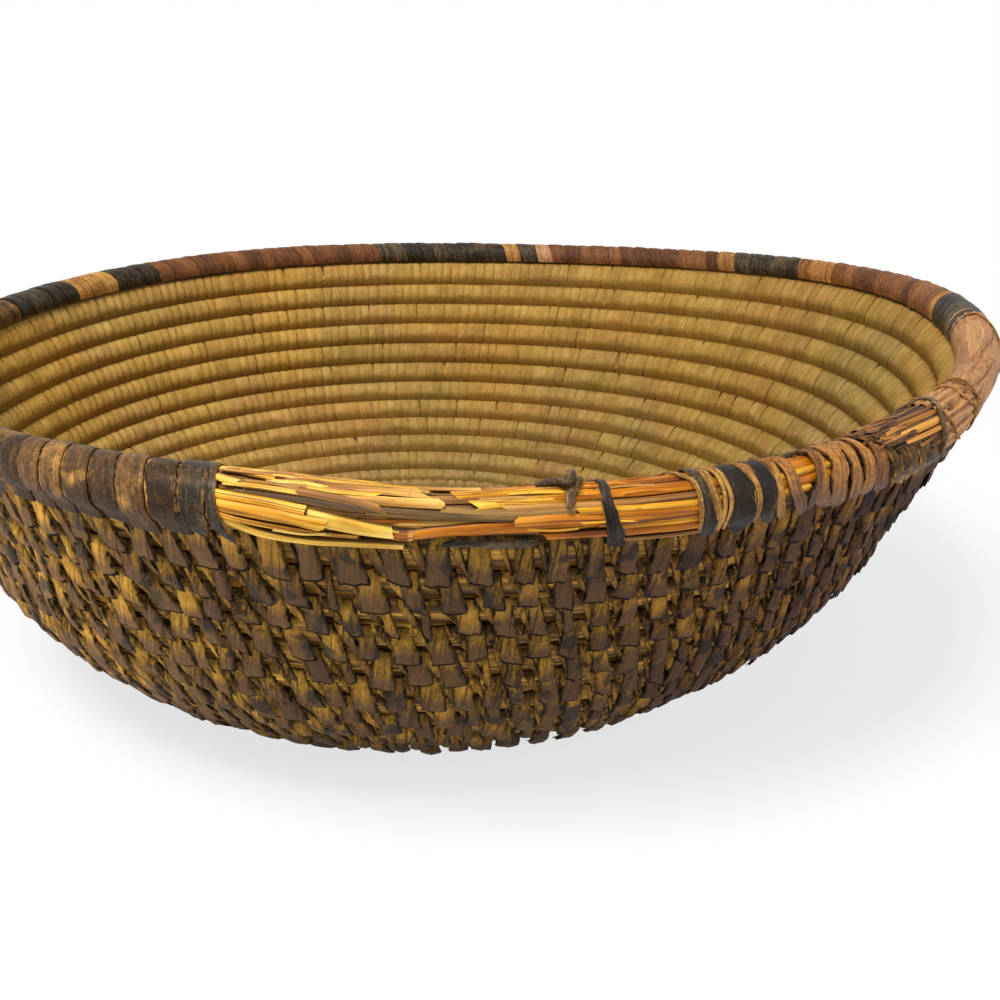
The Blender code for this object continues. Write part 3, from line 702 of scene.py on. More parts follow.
def stem(surface, dice, path, half, thick, tone, torn=(0.8, 0.8), tips=(1, 1), sides=12):
    """One straw along a path over the rim, hollow and torn at its ends. Tips: how pale its two ends are."""
    knots = np.array(path, float)
    count = max(8, int((knots[-1, 0] - knots[0, 0]) / STEM_STEP))
    order = padded(count, 2)
    place = np.arange(len(order))
    near = np.minimum(place, place[::-1])
    azimuth = np.linspace(knots[0, 0], knots[-1, 0], count)
    angle = smooth_curve(knots[:, 0], knots[:, 1], azimuth)[order] + dice.uniform(-1, 1)
    lift = smooth_curve(knots[:, 0], knots[:, 2], azimuth)[order] * MM
    azimuth = azimuth[order]
    azimuth[0] += degrees(1.2 * MM)
    azimuth[-1] -= degrees(1.2 * MM)
    places = np.arange(0, len(order) + 4, 4)
    wobble = np.interp(place, places, dice.uniform(-0.06, 0.06, len(places)))
    size = (np.interp(near, [0, 1, 2], [0.5, 0.78, 1]) * (1 + wobble))[:, None]
    theta = circle(sides)
    rib = 1 + 0.04 * np.cos(5 * theta + dice.uniform(0, 6))
    fade = np.interp(place, [2, 3, 4, 5], [1, 0.5, 0.15, 0])
    cut = 0.7 * np.cos(theta + dice.uniform(0, 6, (2, 1))) + dice.uniform(-0.3, 0.3, (2, sides))
    start = fade[:, None] * (cut[0] - 0.3) * degrees(torn[0] * MM)
    end = fade[::-1, None] * (cut[1] + 0.3) * degrees(torn[1] * MM)
    spread = half * MM * size * rib * np.cos(theta)
    bulge = thick * MM * size * rib * np.sin(theta)
    turn = np.radians(angle)[:, None]
    radius = rim_radius(azimuth)[:, None] - thick * MM + lift[:, None] + bulge
    rise = radius * np.sin(turn) + spread * np.cos(turn)
    face = radius * np.cos(turn) - spread * np.sin(turn)
    points = spot(RIM_ROW, azimuth[:, None] + start + end, rise, face)
    grain = vector((azimuth / degrees(1))[:, None], spread, bulge + dice.uniform(0, 10))
    bright = np.clip(1 - (near - 2) / 5, 0, 1) * np.where(place < len(order) / 2, *tips)
    # Painted shade: the stem's underside, where it lies buried among the others, and its hollow end rings
    # grow dark.
    groove = np.clip(0.95 - 2.1 * np.sin(theta), 0, 0.95)
    shade = vector(tone, np.maximum((near == 0)[:, None], groove), bright[:, None])
    surface.add(points, grain, shade, closed=True, flip=True)


def unit(vectors):
    """Vectors of length 1."""
    return vectors / np.linalg.norm(vectors, axis=1, keepdims=True)


def along_path(path, extra):
    """A function for points beside a path over the rim, the run along it and the path's last column."""
    knots = np.array(path, float)
    at = np.linspace(0, len(knots) - 1, PATH_STEPS)
    index = np.arange(len(knots))
    azimuth, angle, lift, width = (smooth_curve(index, column, at) for column in knots.T)
    points = on_rim(azimuth, angle, lift * MM)
    outward = unit(on_rim(azimuth, angle, (lift + 0.1) * MM) - points)
    ahead = unit(np.gradient(points, axis=0))
    sideways = unit(np.cross(outward, ahead))
    outward = np.cross(ahead, sideways)
    run = np.concatenate([[0], np.cumsum(np.linalg.norm(np.diff(points, axis=0), axis=1))])
    order = padded(PATH_STEPS, extra)
    parts = (points, sideways, outward, run, width)
    points, sideways, outward, run, width = (part[order][:, None] for part in parts)
    return lambda side, out: points + sideways * side[..., None] + outward * out[..., None], run, width


def ribbon(surface, dice, path, tone, tips=0, thickness=0.5):
    """A flat splint along a path over the rim. Tips: how much darker it gets towards its end."""
    beside, run, half = along_path(path, 1)
    order = padded(PATH_STEPS)
    ragged = 1 + dice.uniform(-0.1, 0.1, (PATH_STEPS, 1))[order]
    side = half * RIBBON_ACROSS * ragged * MM
    out = (0.14 * (1 - RIBBON_ACROSS ** 4) - border(*side.shape) * thickness) * MM
    grain = vector(run, side, dice.uniform(0, 10))
    along = np.linspace(0, 1, PATH_STEPS)[order][:, None]
    # Its sides take the material's edge colour: worn edges on most splints, painted shade in the gaps between
    # the orange wraps.
    surface.add(beside(side, out), grain, vector(tone, along * tips, np.abs(RIBBON_ACROSS) ** 3))


def strand(surface, dice, path, tone):
    """A round strand along a path over the rim."""
    beside, run, radius = along_path(path, 0)
    theta = circle(7)
    side, out = radius * np.cos(theta) * MM, radius * np.sin(theta) * MM
    grain = vector(run, side, out + dice.uniform(0, 10))
    surface.add(beside(side, out), grain, vector(tone, 0, 0.2), closed=True)


def loops(surface, dice, seams, end=-4.8, anchor=28):
    """Splints wrapped over the rim between seams, from their cut ends outside to the groove inside.

    The seams' azimuths hold at one angle round the rim, the anchor. End is how low (mm) the cut ends hang.
    """
    seams = np.array(seams, float)
    count = len(seams) - 1
    each = each_of(dice, count)
    middle = ((seams[1:] + seams[:-1]) / 2)[:, None, None]
    half = ((seams[1:] - seams[:-1]) / 2)[:, None, None]
    radius = rim_radius(middle)
    across = np.linspace(-1, 1, 8)[padded(8)]
    theta = np.linspace(-30, 224, 22)[:, None]
    drop = np.linspace(0, 1, 6)[:-1, None]
    low = (end + each(-0.5, 0.5) - CUT_SLANT * each(0.4, 1.2) * (1 + across) / 2) * MM
    flat = 0 * across
    round_rise = radius * np.sin(np.radians(theta)) + flat
    round_face = radius * np.cos(np.radians(theta)) + flat
    rise = np.concatenate([low + (round_rise[:, :1] - low) * drop, round_rise], 1)
    face = np.concatenate([END_FACE + (round_face[:, :1] - END_FACE) * drop, round_face], 1)
    lean_rise, lean_face = -np.gradient(face, axis=1), np.gradient(rise, axis=1)
    norm = np.hypot(lean_rise, lean_face)
    steps = np.hypot(np.diff(rise, axis=1), np.diff(face, axis=1))
    run = np.concatenate([np.zeros((count, 1, len(across))), np.cumsum(steps, 1)], 1)
    order = padded(rise.shape[1])
    parts = (rise, face, run, lean_rise / norm, lean_face / norm)
    rise, face, run, lean_rise, lean_face = (part[:, order] for part in parts)
    turned = np.concatenate([-50 + 20 * drop, theta])[order]
    wander = each(-0.1, 0.1) * np.sin(run / (4 * MM) + each(0, 6))
    jag = 1 + dice.uniform(-0.04, 0.08, (count, len(order), 1)) * (across < -0.9)
    lean = np.interp(turned, LEAN_ANGLES, LEAN_TURNS) - np.interp(anchor, LEAN_ANGLES, LEAN_TURNS)
    azimuth = middle + across * half * jag * each(0.97, 1.03) + lean + wander
    ridge = dice.uniform(-0.04, 0.04, (count, 1, len(across)))
    lift = 0.14 - 0.3 * across ** 6 + across * each(0, 0.2) + each(-0.14, 0.14) + ridge
    lift = lift - border(len(order), len(across)) * 0.6
    points = spot(RIM_ROW, azimuth, rise + lift * lean_rise * MM, face + lift * lean_face * MM)
    grain = vector(run, across * half / degrees(1), each(0, 10))
    edge = np.clip(-across * 2.4 - 1.3, 0, 1) * each(0.4, 1.2) * WORN_SEAMS
    surface.add(points, grain, vector(each(0, 1), 1 - run / (28 * MM), edge))


def flat_splint(surface, dice, azimuths, rises, faces, tone):
    """A loose splint that lies along the rim, between two heights below its middle."""
    along = np.linspace(0, 1, 24)[:, None]
    across = np.linspace(-1, 1, 6)
    azimuth = azimuths[0] + (azimuths[1] - azimuths[0]) * along + dice.uniform(-0.1, 0.1, (1, 6))
    pinch = np.clip(np.minimum(along, 1 - along) * 9, 0.25, 1)
    middle = (rises[0] + rises[1]) / 2 + 0.25 * np.sin(7 * along)
    rise = middle + across * (rises[1] - rises[0]) / 2 * pinch
    face = faces[0] + (faces[1] - faces[0]) * along + 0.3 * (1 - across ** 2) - 0.5 * (np.abs(across) > 0.9)
    grain = vector(azimuth / degrees(1), rise * MM, dice.uniform(0, 10))
    shade = vector(tone, 0, 0.6 * np.abs(across))
    surface.add(spot(RIM_ROW, azimuth, rise * MM, face * MM), grain, shade, flip=True)


def spread_seams(dice, first, last):
    """Seams at about the same spacing from one azimuth to another."""
    count = max(1, round((last - first) / SEAM_SPACING))
    seams = np.linspace(first, last, count + 1)
    seams[1:-1] += dice.uniform(-0.12, 0.12, count - 1) * SEAM_SPACING
    return seams


def hairs(surface, dice, count, radius, *ranges):
    """Many thin fibres that stand off the rim and curve away from their roots.

    Ranges: the roots' azimuths and angles, the fibres' length (mm), rise and drift, as shares of the length.
    """
    each = each_of(dice, count)
    root, angle, reach, up, way, bend = (each(*limits) for limits in (*ranges, (-0.8, 0.8)))
    t = np.linspace(0, 1, 7)[:, None]
    theta = circle(4)
    azimuth = root + degrees(reach * MM) * way * (t + 0.3 * bend * t * t)
    lift = (up * reach * np.sin(t * (1.4 + bend)) - 0.3) * MM
    width = radius * MM * (1 - 0.75 * t)
    side = width * np.cos(theta)
    points = on_rim(azimuth + degrees(side), angle + 12 * bend * t * reach, lift + width * np.sin(theta))
    surface.add(points, vector(t * reach * MM, side, root), vector(each(0, 1), 0, 0.3), closed=True)


def rim_core(material):
    """The bundle of straw inside the rim: a ribbed ring under the wrapping and the bare stalks."""
    azimuth = np.arange(-180, 180, 0.5)[:, None]
    azimuth = np.concatenate([azimuth, azimuth[:1]])
    theta = circle(60)
    rib = 0.22 * np.cos(15 * theta + 0.8 * np.sin(np.radians(azimuth) * 9))
    depth = np.where((azimuth > -14) & (azimuth < 56), 1.6, 0.6)
    radius = rim_radius(azimuth) + (rib - depth) * MM
    points = spot(RIM_ROW, azimuth, radius * np.sin(theta), radius * np.cos(theta))
    grain = vector(azimuth / degrees(1), radius * np.cos(theta), radius * np.sin(theta))
    shade = vector(0.3 + 0.3 * np.cos(15 * theta), 0, 0)
    surface = Surface().add(points, grain, shade, closed=True, flip=True)
    surface.piece("rim_core", material, "straw_dark", ["rim_bundle"])


# The photographed straws: colour, half width and half thickness (mm), torn ends (mm), then the path
STRAWS = [
    ("pale", 1.1, 0.8, (0.3, 1.2), [(-14.4, 134, 0), (-12, 135, 0.2), (-8.7, 133, 0.2), (-6.1, 130, 0)]),
    ("brown", 0.8, 0.6, (0.8, 1.4), [(-9.6, 129, -0.2), (-7.4, 128, -0.1), (-4.7, 122, 0.1)]),
    ("brown", 0.9, 0.6, (0.2, 1.2), [(-14.5, 123, -0.3), (-11.4, 119, -0.2), (-7.9, 113, -0.4)]),
    ("gold", 0.9, 0.6, (0.8, 1.2), [(-12.4, 116, 0.1), (-10, 101, 0.2)]),
    ("pale", 0.7, 0.5, (0.2, 0.8), [(-14.5, 88, 0.2), (-13.7, 85, 0.4), (-12.2, 78, 0.4)]),
    ("brown", 1, 0.7, (0.3, 1), [(-14.4, 99, -0.2), (-12.2, 82, 0), (-8, 76, 0.1), (-5, 67, 0.1),
     (-2.7, 51, 0.2)]),
    ("tan", 1, 0.7, (0.6, 1.6), [(-10.2, 91, 0.1), (-6.2, 92, 0.2), (-2.2, 95, 0.4), (0.1, 89, 0.5)]),
    ("tan", 1, 0.7, (0.6, 1.4), [(-6, 73, 0), (-2.5, 71, 0.1), (0.9, 68, 0.4)]),
    ("grey", 0.8, 0.7, (0.4, 0.9), [(-12.3, 65, -0.3), (-7.9, 60, -0.1), (-4.7, 52, 0), (-0.2, 45, 0),
     (5.1, 39, -0.1)]),
    ("grey", 0.7, 0.6, (0.4, 0.9), [(-3.6, 43, -0.2), (0.5, 37, -0.1), (5.5, 33, -0.1), (8.1, 32, -0.3)]),
    ("gold", 1, 0.8, (0.3, 0.3), [(-14.3, 58, 0.2), (-13.3, 55, 0.4), (-10.5, 50, 0.5), (-7.5, 40, 0.5)]),
    ("gold", 1.25, 0.9, (0.2, 1.4), [(-14.2, 40, 0), (-13.1, 36, 0.4), (-9.1, 27, 0.7), (-6.5, 16, 0.8)]),
    ("pale", 1.5, 1.1, (0.8, 0.2), [(-7.2, 28, 0), (-5.2, 17, 0.6), (-1.9, -7, 0.5)]),
    ("orange", 1.45, 1.2, (0.2, 0.2), [(-1.95, -16, 0.25), (-1.3, -17, 0.55), (-0.5, -18, 0.3)]),
    ("tan", 1.5, 1.2, (0.5, 0.5), [(-1, -17, 0.45), (-0.8, -17, 0.5), (-0.6, -17, 0.4)]),
    ("amber", 1.3, 1.1, (0.2, 0.6), [(-0.7, -18, 0.3), (2.2, -2, 0.2), (8.8, 11, 0), (12.1, 18, -0.4)]),
    ("pale", 1.1, 0.9, (0.2, 0.4), [(-14.1, 13, 0), (-12.8, 2, 0), (-10.8, -18, 0.5), (-6.3, -42, 0.9),
     (-1.3, -44, 1.6)]),
    ("gold", 0.6, 0.5, (0.2, 0.4), [(-14.1, 23, 0.1), (-12.2, 13, 0.2), (-8.2, -2, 0.1), (-4.2, -24, 0)]),
    ("amber", 0.95, 0.8, (1.2, 0.2), [(8.2, -21, 0.5), (12, -16, 0.6), (19.1, -14, 0.7), (21.7, -14, 0.2)]),
    ("tan", 0.6, 0.5, (0.8, 0.4), [(1, 128, 0), (5.2, 132, 0.1), (8.1, 133, 0.1), (11.1, 133, 0)]),
    ("tan", 0.7, 0.5, (0.8, 0.4), [(-3.7, 128, 0), (0.1, 125, 0.1), (3.9, 127, 0.1)]),
    ("gold", 1.1, 0.9, (1.6, 0.2), [(2.5, 92, 0.4), (5.2, 101, 0.4), (8.5, 109, 0.2), (12.3, 109, 0)]),
    ("gold", 1.1, 0.9, (1.6, 0.2), [(3.3, 63, 0.4), (5.1, 70, 0.3), (8.8, 76, 0.1), (12.2, 77, 0)]),
    ("brown", 0.9, 0.7, (0.8, 0.6), [(0.6, 79, -0.1), (4.4, 84, 0), (8.1, 92, -0.2)]),
    ("grey", 0.8, 0.6, (0.8, 0.4), [(1.2, 50, -0.1), (6.5, 45, 0.1), (10.1, 46, -0.1)]),
    ("brown", 0.9, 0.7, (1, 0.4), [(5.4, 55, 0.1), (8.5, 54, 0.2), (12.1, 53, 0)]),
    ("orange", 1.1, 0.9, (1.4, 0.2), [(6.5, 25, 0.2), (9.1, 28, 0.2), (11.9, 24, 0.1), (14.1, 23, -0.3)]),
    ("orange", 1.2, 0.9, (0.3, 0.3), [(9.6, 123, 0), (12.3, 121, 0.1), (19.2, 113, 0.1), (23, 116, -0.5),
     (27.8, 116, -0.4), (32, 118, -0.6)]),
    ("amber", 1.2, 0.9, (0.3, 0.3), [(10.8, 83, 0), (12, 83, 0.1), (19.2, 82, 0.1), (23, 88, -0.5),
     (27.6, 94, -0.4), (31.7, 94, -0.6)]),
    ("brown", 0.8, 0.7, (0.3, 0.3), [(11.1, 59, 0), (12.9, 58, 0.1), (18.8, 56, 0.1), (23.6, 60, -0.6)]),
    ("gold", 0.8, 0.7, (0.8, 0.3), [(10.5, 45, 0.2), (11.8, 43, 0.2), (15.1, 40, 0.2), (19.2, 38, 0.2),
     (23.6, 39, -0.6)]),
    ("amber", 0.5, 0.5, (0.8, 0.3), [(12.7, 33, 0.2), (16.1, 30, 0.3), (20, 28, 0.3)]),
    ("orange", 1.3, 1, (0.3, 0.3), [(11.9, 15, 0), (13.3, 15, 0.1), (19.2, 18, 0.1), (23.6, 20, -0.6)]),
    ("gold", 0.7, 0.6, (1.2, 0.3), [(13.4, -1, 0.2), (15.9, 2, 0.2), (19.8, 2, 0.2), (23.2, 2, -0.6)]),
    ("brown", 0.5, 0.5, (0.8, 0.3), [(13.4, -32, 1.2), (16.2, -30, 1.2), (19.6, -28, 1.2)]),
    ("gold", 0.9, 0.8, (0.3, 0.3), [(25.9, 65, -0.5), (28.3, 67, -0.2), (31.4, 69, -0.4)]),
    ("amber", 1, 0.8, (0.3, 0.3), [(25.7, 43, -0.5), (28.1, 45, -0.2), (31.1, 46, -0.4)]),
    ("gold", 0.9, 0.8, (0.3, 0.5), [(25.5, 25, -0.5), (27.2, 25, -0.2), (29, 24, -0.3)]),
    ("orange", 0.8, 0.7, (0.3, 0.5), [(26.3, 136, -0.5), (28.8, 137, -0.3), (32.1, 140, -0.5)]),
]


def bowed(first, last, angles, lifts):
    """A path of three points, at both ends and in the middle."""
    return list(zip((first, (first + last) / 2, last), angles, lifts))


def straw_pieces(kind, surfaces, looks, shown):
    """A piece for each colour of straw, with the part's nodes that it shows."""
    for name, surface in surfaces.items():
        slot = "straw_dark" if name in ("brown", "grey", "orange") else "straw"
        surface.piece(f"{kind}s_{name}", looks[f"{kind}_{name}"], slot, shown.get(name, ()))


def splinter(surface, dice, first, last, angles, lifts, widest, thickest, torn, pale):
    """A thin broken straw, torn and pale at its left end."""
    stem(surface, dice, bowed(first, last, angles, lifts), dice.uniform(0.2, widest),
         dice.uniform(0.2, thickest), dice.uniform(0, 1), (dice.uniform(*torn), 0.3), (pale, 0), sides=7)


def bare_straws(dice, looks):
    """The stalks that show at the front, over more stalks that lie deeper in the bundle."""
    surfaces = {name: Surface() for name in ("pale", "gold", "amber", "tan", "orange", "brown", "grey")}
    for name, half, thick, torn, path in STRAWS:
        stem(surfaces[name], dice, path, half, thick, dice.uniform(0.2, 0.9), torn)
    for number in range(FINE_STRAWS):
        is_left = number < LEFT_STRAWS
        names = ("pale", "gold", "tan", "brown") if is_left else ("gold", "amber", "orange", "brown")
        first = dice.uniform(-14.2, -5) if is_left else dice.uniform(3, 16)
        last = first + dice.uniform(2.5, 6)
        angle = dice.uniform(72 if number % 4 else -25, 132)
        path = bowed(first, last, (angle, angle - dice.uniform(-2, 6), angle - 4), (0.15, 0.4, 0.1))
        surface = surfaces[names[number % 4]]
        stem(surface, dice, path, dice.uniform(0.25, 0.5), 0.3, dice.uniform(0.1, 1), (0.8, 0.9), sides=7)
    deep = ["brown", "tan", "gold", "brown", "orange", "grey"]
    for angle in np.arange(-70, 250, 17):
        for first, last in ((-15, -1), (-4, 14), (11, 31)):
            ends = first + dice.uniform(-0.5, 2), last + dice.uniform(-2, 2)
            lean = dice.uniform(-8, 8)
            path = bowed(*ends, (angle + lean, angle, angle - lean), (-1, -0.8, -1))
            surface = surfaces[deep[dice.integers(len(deep))]]
            stem(surface, dice, path, dice.uniform(0.7, 1), 0.7, dice.uniform(0, 0.7), tips=(0.3, 0.3))
    stalks = [f"stalk_{number:02d}" for number in range(1, 11)]
    shown = {"gold": stalks[:4], "pale": stalks[4:5], "brown": stalks[5:7], "amber": stalks[7:9],
             "tan": stalks[9:]}
    straw_pieces("straw", surfaces, looks, shown)


def broken_end(dice, looks):
    """The torn stalks past the twine, pointing along the rim to the left over the wrapping."""
    surfaces = {name: Surface() for name in ("gold", "tan", "orange", "brown")}
    names = ["orange", "gold", "brown", "tan", "orange", "brown"]
    for number in range(LONG_SPLINTERS):
        angle = dice.uniform(22, 160)
        first = np.interp(angle, SPLINTER_ANGLES, SPLINTER_STARTS) + abs(dice.normal(0, 1.5))
        depth = dice.uniform(-3.2, 0.3)
        last = dice.uniform(46.6, 48.5)
        if first > 45:
            continue
        angles = (angle + dice.uniform(-9, 9), angle, angle)
        lifts = (depth + dice.uniform(-0.4, 0.7), depth, depth - 0.3)
        name = names[number % len(names)]
        splinter(surfaces[name], dice, first, last, angles, lifts, 0.6, 0.45, (0.6, 2.2), 0.7)
    for first, angle, half, tone in GOLD_SPLINTERS:
        path = bowed(first, 46.8, (angle, angle - 2, angle - 4), (0.6, 0.6, 0.1))
        stem(surfaces["gold"], dice, path, half, 0.7, tone, (1.4, 0.3), (1, 0))
    path = [(36.6, 132, 1), (39.4, 128, 0.8), (44, 122, 0.2)]
    stem(surfaces["tan"], dice, path, 0.5, 0.35, 0.9, (1.2, 0.3), (1, 0), sides=8)
    names = ["gold", "orange", "tan", "brown", "brown"]
    for number in range(SHORT_SPLINTERS):
        angle = dice.uniform(58, 124)
        first = 35.3 + abs(dice.normal(0, 1.3)) + np.interp(angle, SHORT_ANGLES, SHORT_DELAYS)
        last = first + dice.uniform(2.2, 4.5)
        angles = (angle + dice.uniform(-7, 7), angle, angle)
        lifts = (dice.uniform(0.3, 1.3), 0.7, 0.2)
        name = names[number % len(names)]
        splinter(surfaces[name], dice, first, last, angles, lifts, 0.5, 0.35, (0.5, 1.6), 0.6)
    shown = {name: [f"splinter_0{place}"] for place, name in enumerate(("gold", "orange", "brown", "tan"), 1)}
    straw_pieces("splinter", surfaces, looks, shown)


def bark_strip(dice, looks):
    """The smooth bark over the bundle right of the twine, ribbed near it, split and peeled at the far end."""
    azimuth = np.arange(46.5, 85, 0.3)[:, None]
    theta = np.arange(-75, 250, 4)
    turn = np.radians(theta)
    ribs = np.interp(azimuth, [46.5, 50, 57, 60], [0.34, 0.3, 0.2, 0.03])
    wave = np.cos(turn * 16 + 0.5 * np.sin(azimuth / 4)) + 0.5 * np.cos(turn * 27 + azimuth / 7)
    split_at = np.interp(azimuth, [57.5, 63.2, 66, 73.5, 79.4], [75, 67, 112, 79, 62])
    split = np.exp(-((theta - split_at) / 3.5) ** 2) * (azimuth > 57) * (azimuth < 78.5)
    gap = np.exp(-((theta - 81) / 9) ** 2 - ((azimuth - 53.9) / 0.8) ** 2)
    gap = gap + np.exp(-((theta - 75) / 8) ** 2 - ((azimuth - 49.8) / 0.9) ** 2)
    points = on_rim(azimuth, theta, (0.1 + ribs * wave - 0.5 * split - 1.7 * gap) * MM)
    grain = vector(azimuth / degrees(1), rim_radius(azimuth) * turn, 3)
    shade = vector(0.5 + 0.25 * wave * (ribs > 0.1), np.clip(gap + 0.7 * split, 0, 1), 0)
    Surface().add(points, grain, shade).piece("bark_strip", looks["bark"], "bark")
    surface = Surface()
    ribbon(surface, dice, BARK_PEEL, 0.8)
    surface.piece("bark_peel", looks["bark_peel"], "straw")


# The black stitches and knotted grey strands: tone, then the path
BLACK_STITCHES = [
    (0.5, [(11.2, 228, 0.3, 0.8), (11.6, 160, 0.4, 0.8), (12.1, 134, 0.5, 0.8), (12.3, 110, 0.5, 0.85),
     (12.3, 65, 0.5, 1), (12.6, 25, 0.6, 1.3), (13, -8, 0.6, 1.55), (13.2, -30, 1.1, 1.6),
     (13.4, -42, 1.9, 1.6)]),
    (0.7, [(18.4, 200, 0.3, 1), (19, 136, 0.5, 1), (19.15, 119, 0.5, 1), (19.3, 78, 0.5, 1),
     (19.5, 43, 0.5, 1), (19.9, 3, 0.6, 1.5), (20.2, -30, 1.1, 1.8), (20.3, -40, 1.6, 1.8)]),
    (0.8, [(-15.4, 200, 0.3, 1.3), (-15, 132, 0.4, 1.3), (-14.1, 76, 0.45, 1), (-13.75, 43, 0.5, 1),
     (-13.5, 12, 0.55, 1.25), (-12.9, -25, 1, 1.1), (-12.5, -42, 1.8, 0.25)]),
]
GREY_STRANDS = [
    (0.4, [(8.2, 226, 0.3, 1.3), (8.4, 160, 0.5, 1.3), (8.8, 133, 0.6, 1.3), (9.2, 128, 1, 1.2),
     (9.4, 107, 1.9, 1.1), (9.7, 96, 2.3, 1), (10, 105, 2.9, 0.9), (10.2, 125, 2.6, 0.8),
     (10.1, 130, 1.8, 0.7)]),
    (0.5, [(10.7, 133, 0.4, 0.9), (10.7, 132, 0.9, 1), (10.5, 116, 1.5, 1.1), (10.1, 93, 1.2, 1),
     (9.8, 72, 0.7, 0.9), (9.7, 57, 0.8, 0.7), (9.6, 50, 1.1, 0.4)]),
    (0.3, [(7.6, 116, 0.5, 0.6), (8.3, 117, 1.1, 1), (9.1, 113, 1.5, 1.1), (9.9, 108, 1.3, 0.9),
     (10.4, 104, 0.8, 0.5)]),
    (0.3, [(44, 200, 0.4, 0.7), (45.5, 175, 0.6, 0.8), (46.9, 150, 0.6, 0.9), (48.4, 128, 0.6, 0.9),
     (47.2, 89, 0.6, 0.8), (46, 53, 0.7, 0.7), (46, 14, 0.7, 0.7), (47.6, -20, 1.2, 0.7)]),
]

# Thin twine past the worn stretch, and the azimuths of five turns of it: inside, on top, in front and below
TWINE_STRANDS = [
    [(57, 200, 0.3, 0.3), (57.7, 165, 0.4, 0.32), (56.5, 118, 0.5, 0.32), (55.7, 81, 0.5, 0.3),
     (55.3, 48, 0.4, 0.3), (53.9, 24, 0.4, 0.3), (54, -18, 0.6, 0.3)],
    [(51.5, 190, 0.3, 0.25), (53.6, 147, 0.4, 0.28), (53.1, 112, 0.5, 0.28), (52.6, 75, 0.6, 0.28),
     (53.8, 50, 0.5, 0.26), (54.5, 24, 0.4, 0.26)],
    [(55.6, 180, 0.4, 0.25), (56.1, 146, 0.6, 0.26), (55.1, 115, 0.8, 0.26), (54.6, 86, 0.8, 0.26),
     (55, 66, 0.6, 0.25), (56, 46, 0.4, 0.25)],
    [(46.9, 80, 0.8, 0.3), (47, 66, 0.8, 0.32), (47.5, 45, 0.7, 0.32), (48.3, 24, 0.6, 0.3),
     (50, 0, 0.7, 0.3)],
    [(81.7, 141, 0.3, 0.3), (81.7, 114, 0.4, 0.32), (79.6, 82, 0.4, 0.32), (75.9, 58, 0.4, 0.3),
     (72.5, 37, 0.4, 0.3), (70.6, 3, 0.4, 0.3)],
]
TWINE_TURNS = [(17.8, 18.9, 19.1, 19.3), (19.7, 19.9, 20.2, 20.6), (20.2, 20.2, 20.5, 20.9),
               (20.7, 20.9, 21, 21), (21.1, 21.3, 21.5, 21.4)]


def lashings(dice, looks):
    """Stitches and twine that hold the worn stretch."""
    black, grey, twine = Surface(), Surface(), Surface()
    for tone, path in BLACK_STITCHES:
        ribbon(black, dice, path, tone, 0.9)
    flat_splint(black, dice, (1.4, 8), (-3.9, -1.9), (5, 5.1), 0.9)
    for tone, path in GREY_STRANDS:
        ribbon(grey, dice, path, tone)
    for path in TWINE_STRANDS:
        strand(twine, dice, path, dice.uniform(0.2, 0.8))
    for high, top, front, low in TWINE_TURNS:
        path = [(high - 1, 200, 0.3, 0.35), (high, 120, 0.45, 0.4), (top, 75, 0.6, 0.45),
                (front, 30, 0.6, 0.45), (low, -10, 0.7, 0.4), (low + 0.1, dice.uniform(-38, -22), 1.1, 0.3)]
        ribbon(twine, dice, path, dice.uniform(0.3, 1), thickness=0.3)
    for surface, name, look, slot, shown in (
            (black, "stitches_black", "stitch_black", "black_splint", ("front", "edge")),
            (grey, "stitches_grey", "stitch_grey", "brown_splint", ("knotted", "twine_low")),
            (twine, "twine", "twine_tan", "tan_splint", ("twine_mid", "twine_high"))):
        surface.piece(name, looks[look], slot, [f"lashing_{part}" for part in shown])


# The wrapping's bands: colour, from and to (degrees), and the band of the part that each shows
BANDS = [
    ("brown", -96, -62, "brown_left"), ("black", -62, -54, "black_side"),
    ("brown", -54, -33.6, "brown_front"), ("black", 80.5, 93.5, "black_end"), ("red", 95.2, 119, "red_right"),
    ("orange", 119, 128, "mixed_right"), ("black", 128, 139.3, "black_back_right"),
    ("tan", 139.3, 142, "tan_back"), ("red", 142, 169.5, "red_back"), ("pink", 169.5, 172, "pink_back"),
    ("black", 172, 174.8, "black_patch"), ("tan", 174.8, 177.2, "tan_patch"),
    ("black", 177.2, 198.2, "black_back_left"), ("red", 198.2, 236.4, "red_back_left"),
    ("black", 236.4, 244.4, "black_left_short"), ("tan", 244.4, 251.8, "tan_left"),
    ("black", 251.8, 264, "black_left"),
]

# Seams of the brown wrapping left of the bare straw, low on the rim's outside, and the strap that ends it
FRONT_SEAMS = [-33, -30.6, -28.2, -25.9, -23.5, -21.1, -18.7, -16.2]
BLACK_STRAP = [(-16.9, 215, 0.3, 2), (-16.5, 160, 0.35, 2.1), (-16.3, 132, 0.4, 2.1), (-15.4, 73, 0.4, 2.5),
               (-15.15, 40, 0.4, 2.6), (-15.05, 5, 0.5, 2.4), (-14.9, -20, 0.8, 1.4), (-14.8, -32, 1.1, 0.3)]

